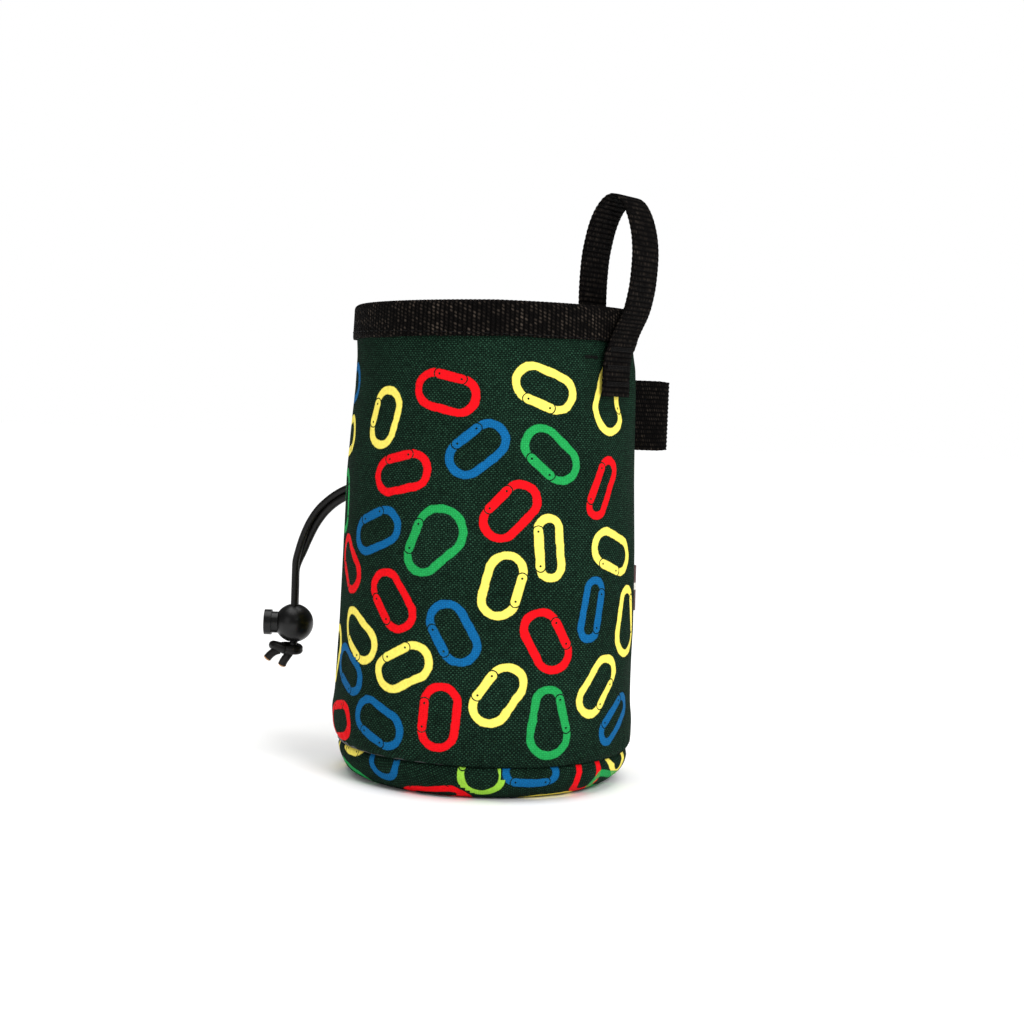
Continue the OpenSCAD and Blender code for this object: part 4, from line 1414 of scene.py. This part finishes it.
def webbing_line():
    """The hang loop's middle line at its azimuth: out, sideways and height, in millimetres."""
    collar = MOUTH_R - COLLAR_IN - COLLAR_T
    hollow = collar - math.sqrt(collar ** 2 - (WEB_W / 2) ** 2)  # a flat strap spans the round collar
    seats = ((WEB_OUTSIDE, LAYER_GAP + WEB_T / 2),
             (WEB_INSIDE, -COLLAR_IN - COLLAR_T - LAYER_GAP - WEB_T / 2 - hollow))
    points = []
    for route, seat in seats:
        for sideways, out, share in route:
            if share > 0:
                height = share * LOOP_H
            elif share > -1:
                height = share * BAND_H
            else:
                height = (share + 1) * (TAIL_H - BAND_H) - BAND_H
            height += BODY_H
            points.append((wall_radius(min(height, BODY_H)) + seat + out, sideways, height))
    return points


class MakeHangLoop(bpy.types.Operator):
    """Make the strap of the hang loop, which bends over the rim"""

    bl_idname = "chalk_bag.make_hang_loop"
    bl_label = "Hang loop"

    def execute(self, context):
        rib = sizes().web_rib / MM
        line = smooth_line(webbing_line(), rib / 8, rounds=6)
        t = np.gradient(line, axis=0)
        t /= np.linalg.norm(t, axis=1)[:, None]
        run = np.concatenate([[0], np.cumsum(np.linalg.norm(np.diff(line, axis=0), axis=1))])
        sideways = np.array([0.0, 1.0, 0.0])
        across = np.concatenate([[-1.0, -0.985], np.linspace(-0.95, 0.95, 9), [0.985, 1.0]])
        thick = np.sqrt(np.clip(1 - np.abs(across) ** 18, 0, 1))
        shape = np.concatenate([np.stack([across, thick], 1), np.stack([across, -thick], 1)[::-1][1:-1]])
        half_t = WEB_T / 2 - 0.05

        def section(k):
            n = unit(np.cross(sideways, t[k]))
            one = 0.5 - 0.5 * math.cos(2 * math.pi * run[k] / rib)
            other = 0.5 - 0.5 * math.cos(2 * math.pi * run[k] / rib + 2.4)
            swell = 0.06 * math.sin(2 * math.pi * run[k] / rib)
            half = np.where(shape[:, 0] < 0, WEB_W / 2 - 0.28 * one, WEB_W / 2 - 0.28 * other)
            local = (line[k] + (shape[:, :1] * half[:, None]) * sideways
                     + shape[:, 1:] * (half_t - 0.06 + swell) * n)
            out, side = spoke(LOOP_AZ)
            return local[:, :1] * out + local[:, 1:2] * side + local[:, 2:] * np.array([0.0, 0.0, 1.0])

        flat = np.concatenate([shape[:, 0], shape[:1, 0]]) * WEB_W / 2
        strap = swept("hang_loop_strap", line, section, flat)
        finish_piece(strap, None, black_webbing(),
                     ["hang_loop", "hang_loop_outer_end", "hang_loop_inner_end"])
        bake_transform(strap)
        return {"FINISHED"}


class MakeBrushLoop(bpy.types.Operator):
    """Make the brush loop of ribbed elastic and the folded label in the side seam"""

    bl_idname = "chalk_bag.make_brush_loop"
    bl_label = "Brush loop and label"

    def execute(self, context):
        s, c = sizes(), colours()
        half = BRUSH_GAP / 2 + BRUSH_T / 2
        tip = wall_radius(BRUSH_H) + BRUSH_OUT - BRUSH_GAP / 2 - BRUSH_T
        root = 54.4
        # in by the wall, out along one side, round the tip and back along the other
        path = [(root, -half), (root + 3, -half), (tip - 3, -half), (tip - 0.5, -half)]
        path += arc((tip, 0), half, -80, 80, 9)
        path += [(tip - 0.5, half), (tip - 3, half), (root + 3, half), (root, half)]
        line = smooth_line([(x, y, 0) for x, y in path], 0.6, rounds=1)
        t = np.gradient(line, axis=0)
        t /= np.linalg.norm(t, axis=1)[:, None]
        rib = s.elastic_rib / MM
        rows = int(BRUSH_W / rib * 6)
        heights = np.linspace(0, BRUSH_W, rows)
        bulge = 0.12 * np.cos(2 * math.pi * heights / rib)

        def section(k):
            n = unit(np.cross(np.array([0.0, 0.0, 1.0]), t[k]))
            fold = float(smooth_step(line[k][0], tip - 1, tip + half))
            squeeze = 1 - 0.03 * fold
            middle = BRUSH_W / 2
            z = BRUSH_H + middle + (heights - middle) * squeeze * (1 - 0.004 * math.sin(k * 1.9))
            front = [line[k][:2] + n[:2] * (BRUSH_T / 2 - 0.12 + b) for b in bulge]
            back = [line[k][:2] - n[:2] * (BRUSH_T / 2 - 0.12 + b) for b in bulge]
            pts = [(p[0], p[1], h) for p, h in zip(front, z)]
            pts += [(p[0], p[1], h) for p, h in zip(back[::-1], z[::-1])]
            out, side = spoke(SIDE_SEAM_AZ)
            local = np.array(pts)
            # near the shell, the root follows the wall's taper
            near = (1 - smooth_step(local[:, 0], root, root + 2)) * (wall_radius(local[:, 2]) - root + 0.1)
            x = local[:, 0] + near
            return x[:, None] * out + local[:, 1:2] * side + local[:, 2:] * np.array([0.0, 0.0, 1.0])

        flat = np.concatenate([heights, heights[::-1], heights[:1]])
        loop = swept("brush_loop_elastic", line, section, flat)
        elastic = webbing_material("ribbed elastic", rib, 0.9, 0.3, c.elastic, c.webbing_dot, depth=0.00025,
                                   share=0.55)
        finish_piece(loop, "bag", elastic, ["brush_loop"])
        self.label(c)
        return {"FINISHED"}

    @staticmethod
    def label(c):
        """A folded blank label, held in the side seam and lying on the wall."""
        low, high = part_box("side_label")
        height = (high.z - low.z) / MM
        start, turn, columns, rows = SIDE_SEAM_AZ, 9.0 / 56.0 * 180 / math.pi, 18, 24
        base = LABEL_H
        levels = np.linspace(base, base + height, rows)
        section = [(wall_radius(h) + 0.3, h) for h in levels]
        section += [(wall_radius(h) + 0.9, h) for h in levels[::-1]]

        def stand(azimuth, level):
            share = (azimuth - start) / turn
            return wall_shift(azimuth, level) + 1.9 * np.sin(math.pi * np.clip(share * 1.1, 0, 1)) ** 0.8

        piece, *_ = turned("side_label_folded", section, columns, stand, first=start, turn=turn)
        tidy_mesh(piece)
        material, w, shader = new_material("woven label", Sheen_Weight=0.2, Specular_IOR_Level=0.3)
        _, v, _ = w.split(w.cloth())
        weave = w.group(weave_group(), Place=w.cloth(), Pitch=0.3)
        _, _, z = w.split(w.place())
        band = w.math("MULTIPLY", w.step(z, (base + 8.2) * MM, (base + 8.5) * MM),
                      w.step(z, (base + 11.3) * MM, (base + 11.0) * MM))
        # painted shade: the label's colour is darker away from the thread crowns; the per-thread part is random tone
        tone = w.math("MULTIPLY_ADD", weave["Thread"], 0.4, w.math("MULTIPLY_ADD", weave["Crown"], 0.4, 0.5))
        cloth = w.mix(band, tuple(c.label), tuple(c.label_band))
        w.feed(shader["Base Color"], scaled(w, cloth, tone))
        w.feed(shader["Roughness"], w.math("MULTIPLY_ADD", weave["Thread"], 0.2, 0.6))
        w.feed(shader["Normal"], w.bump(weave["Height"], 0.00006))
        finish_piece(piece, "bag", material, ["side_label"])


class MakeHardware(bpy.types.Operator):
    """Finish the cord lock, its spring and the eyelet"""

    bl_idname = "chalk_bag.make_hardware"
    bl_label = "Cord lock and eyelet"

    def execute(self, context):
        c = colours()
        plastic = moulded_material("cord lock plastic", c.lock)
        for node in ("lock_body", "lock_plunger"):
            dress_node(node, plastic)
        dress_node("lock_spring", metal_material("spring steel", shade(190, 190, 192), 0.32))
        enamel = metal_material("black enamel", shade(34, 34, 35), 0.4, 0.0)
        for node in ("cord_eyelet", "eyelet_washer"):
            dress_node(node, enamel)
        return {"FINISHED"}


def stitch_tree():
    """Geometry nodes that lay short stitches along a line."""
    name = "row of stitches"
    if name in bpy.data.node_groups:
        return bpy.data.node_groups[name]
    tree = bpy.data.node_groups.new(name, "GeometryNodeTree")
    face = tree.interface
    face.new_socket("Line", in_out="INPUT", socket_type="NodeSocketGeometry")
    for key in ("Stitch", "Gap", "Thread"):
        face.new_socket(key, in_out="INPUT", socket_type="NodeSocketFloat")
    face.new_socket("Finish", in_out="INPUT", socket_type="NodeSocketMaterial")
    face.new_socket("Stitches", in_out="OUTPUT", socket_type="NodeSocketGeometry")
    w = Wires(tree)
    given, out = w.node("NodeGroupInput").outputs, w.node("NodeGroupOutput").inputs

    pitch = w.math("ADD", given["Stitch"], given["Gap"])
    points = w.node("GeometryNodeResampleCurve", {"Curve": given["Line"], "Length": pitch}, mode="LENGTH")
    ball = w.node("GeometryNodeMeshUVSphere", {"Segments": 6, "Rings": 4, "Radius": 0.5})
    jitter = w.node("FunctionNodeRandomValue", {"Seed": 7}, data_type="FLOAT")
    for socket in jitter.inputs:
        if socket.name == "Min" and socket.type == "VALUE" and socket.enabled:
            socket.default_value = 0.9
        if socket.name == "Max" and socket.type == "VALUE" and socket.enabled:
            socket.default_value = 1.06
    chance = [o for o in jitter.outputs if o.enabled][0]
    long = w.math("MULTIPLY", given["Stitch"], chance)
    size_of = w.join(given["Thread"], given["Thread"], long)
    aim = w.node("FunctionNodeAlignRotationToVector", {"Vector": w.node("GeometryNodeInputTangent").outputs[0]},
                 axis="Z")
    rows = w.node("GeometryNodeInstanceOnPoints", {"Points": points.outputs[0], "Instance": ball.outputs[0],
                                                   "Rotation": aim.outputs[0], "Scale": size_of})
    real = w.node("GeometryNodeRealizeInstances", {"Geometry": rows.outputs[0]})
    paint = w.node("GeometryNodeSetMaterial", {"Geometry": real.outputs[0], "Material": given["Finish"]})
    tree.links.new(paint.outputs[0], out["Stitches"])
    return tree


def stitches(name, lines, stitch, gap, thread, material, body="bag"):
    """Stitches along lines of points in millimetres, as one plain mesh."""
    curve = bpy.data.curves.new(name, "CURVE")
    curve.dimensions = "3D"
    for line in lines:
        spline = curve.splines.new("POLY")
        spline.points.add(len(line) - 1)
        for point, place in zip(spline.points, line):
            point.co = (*(np.asarray(place) * MM), 1.0)
    holder = bpy.data.objects.new(name, curve)
    bpy.context.scene.collection.objects.link(holder)
    modifier = holder.modifiers.new("stitches", "NODES")
    modifier.node_group = stitch_tree()
    keys = {item.name: item.identifier for item in modifier.node_group.interface.items_tree
            if item.item_type == "SOCKET" and item.in_out == "INPUT"}
    for key, value in (("Stitch", stitch), ("Gap", gap), ("Thread", thread), ("Finish", material)):
        modifier[keys[key]] = value
    view = bpy.context.evaluated_depsgraph_get()
    mesh = bpy.data.meshes.new_from_object(holder.evaluated_get(view), depsgraph=view)
    mesh.name = name
    bpy.data.objects.remove(holder)
    bpy.data.curves.remove(curve)
    piece = bpy.data.objects.new(name, mesh)
    bpy.context.scene.collection.objects.link(piece)
    mesh.materials.clear()
    mesh.shade_smooth()
    tidy_mesh(piece, 0.000001)
    return finish_piece(piece, body, material)


class MakeStitches(bpy.types.Operator):
    """Sew the rim binding and the hang loop's ends"""

    bl_idname = "chalk_bag.make_stitches"
    bl_label = "Stitches"

    def execute(self, context):
        s = sizes()
        thread = stitch_thread()
        low = BODY_H - BAND_H + 2.0
        lines = []
        for radius in (wall_radius(low) + 1.5, wall_radius(low) - 4.8):
            lines.append([at_spoke(az, radius, 0, low) for az in np.linspace(0, 360, 361)])
        stitches("rim_stitches", lines, s.stitch_length, s.stitch_gap, s.thread_width, thread)
        strap = np.array(webbing_line())[:8]
        lines = []
        for below in (0.88, 0.7, 0.5):
            height = BODY_H - below * TAIL_H + 0.8
            face = float(np.interp(height, strap[:, 2], strap[:, 0])) + WEB_T / 2 + 0.05
            wide = 8.2 if below > 0.6 else 7.6
            lines.append([at_spoke(LOOP_AZ, face, -wide + 2 * wide * k / 60, height + (0.75 if k % 2 else -0.75))
                          for k in range(61)])
        # one bar of stitches runs on past the strap's edge, into the canvas
        height = 164.2
        bar = [LOOP_AZ - 11.5 - 7.0 * k / 26 for k in range(27)]
        lines.append([at_spoke(az, wall_radius(height) + float(wall_shift(az, height)) + 0.2, 0,
                               height + (0.5 if k % 2 else -0.5)) for k, az in enumerate(bar)])
        tacks = stitches("hang_loop_bartack", lines, 0.0012, 0.00001, 0.00034, thread)
        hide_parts("hang_loop_bartacks")
        return {"FINISHED"}


class MakeStage(bpy.types.Operator):
    """Add the pale floor and the soft lights"""

    bl_idname = "chalk_bag.make_stage"
    bl_label = "Floor and lights"

    def execute(self, context):
        scene = context.scene
        mesh = bpy.data.meshes.new("floor")
        far = 6.0
        mesh.from_pydata([(-far, -far, 0), (far, -far, 0), (far, far, 0), (-far, far, 0)], [], [(0, 1, 2, 3)])
        floor = bpy.data.objects.new("floor", mesh)
        scene.collection.objects.link(floor)
        paper, w, shader = new_material("pale paper", Roughness=0.9)
        grain = w.noise(w.place(), 300.0, 2.0)
        w.feed(shader["Base Color"], scaled(w, (0.98, 0.98, 0.98), w.math("MULTIPLY_ADD", grain, 0.01, 0.995)))
        mesh.materials.append(paper)
        world = bpy.data.worlds.new("studio")
        scene.world = world
        world.use_nodes = True
        w = Wires(world.node_tree)
        back = world.node_tree.nodes["Background"]
        back.inputs["Color"].default_value = (1.0, 1.0, 1.0, 1.0)
        seen = w.node("ShaderNodeLightPath").outputs["Is Camera Ray"]
        mirrored = w.node("ShaderNodeLightPath").outputs["Is Glossy Ray"]
        w.feed(back.inputs["Strength"], w.blend(seen, w.blend(mirrored, 0.4, 0.12), 1.0))
        sun = bpy.data.lights.new("sky", "SUN")
        sun.energy, sun.angle = 2.3, math.radians(60)
        overhead = bpy.data.objects.new("sky", sun)
        scene.collection.objects.link(overhead)
        for name, place, aim, wide, power in (
            ("key", (0.6, -1.0, 0.8), (0, 0, 0.09), 0.5, 11.0),
            ("fill", (-0.9, -1.0, 0.5), (0, 0, 0.09), 0.8, 2.0),
        ):
            light = bpy.data.lights.new(name, "AREA")
            light.shape, light.size, light.energy = "SQUARE", wide, power
            lamp = bpy.data.objects.new(name, light)
            scene.collection.objects.link(lamp)
            z = unit(np.array(place, float) - np.array(aim, float))
            x = unit(np.cross(np.array([0.0, 0.0, 1.0]), z))
            y = np.cross(z, x)
            turn = np.eye(4)
            turn[:3, 0], turn[:3, 1], turn[:3, 2], turn[:3, 3] = x, y, z, place
            lamp.matrix_world = Matrix(turn.tolist())
        scene.view_settings.view_transform = "Standard"
        return {"FINISHED"}


STEPS = (MakeCamera, MakeCords, MakeShell, MakeBase, MakeRim, MakeLining, MakeHangLoop, MakeBrushLoop,
         MakeHardware, MakeStitches, MakeStage)


class ChalkBagPanel(bpy.types.Panel):
    """Lists the steps that make the bag"""

    bl_idname = "CHALKBAG_PT_steps"
    bl_label = "Chalk bag"
    bl_space_type = "VIEW_3D"
    bl_region_type = "UI"
    bl_category = "Chalk bag"

    def draw(self, context):
        for step in STEPS:
            self.layout.operator(step.bl_idname)
        for group in (context.scene.chalk_bag_sizes, context.scene.chalk_bag_colours):
            box = self.layout.box()
            for key in group.__annotations__:
                box.prop(group, key)


CLASSES = (ChalkBagSizes, ChalkBagColours, *STEPS, ChalkBagPanel)


def register():
    for cls in CLASSES:
        bpy.utils.register_class(cls)
    bpy.types.Scene.chalk_bag_sizes = bpy.props.PointerProperty(type=ChalkBagSizes)
    bpy.types.Scene.chalk_bag_colours = bpy.props.PointerProperty(type=ChalkBagColours)


def unregister():
    del bpy.types.Scene.chalk_bag_colours
    del bpy.types.Scene.chalk_bag_sizes
    for cls in reversed(CLASSES):
        bpy.utils.unregister_class(cls)


def main():
    """Makes the whole bag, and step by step."""
    register()
    bpy.ops.chalk_bag.make_camera()
    bpy.ops.chalk_bag.make_cords()
    bpy.ops.chalk_bag.make_shell()
    bpy.ops.chalk_bag.make_base()
    bpy.ops.chalk_bag.make_rim()
    bpy.ops.chalk_bag.make_lining()
    bpy.ops.chalk_bag.make_hang_loop()
    bpy.ops.chalk_bag.make_brush_loop()
    bpy.ops.chalk_bag.make_hardware()
    bpy.ops.chalk_bag.make_stitches()
    bpy.ops.chalk_bag.make_stage()


if __name__ == "__main__":
    main()
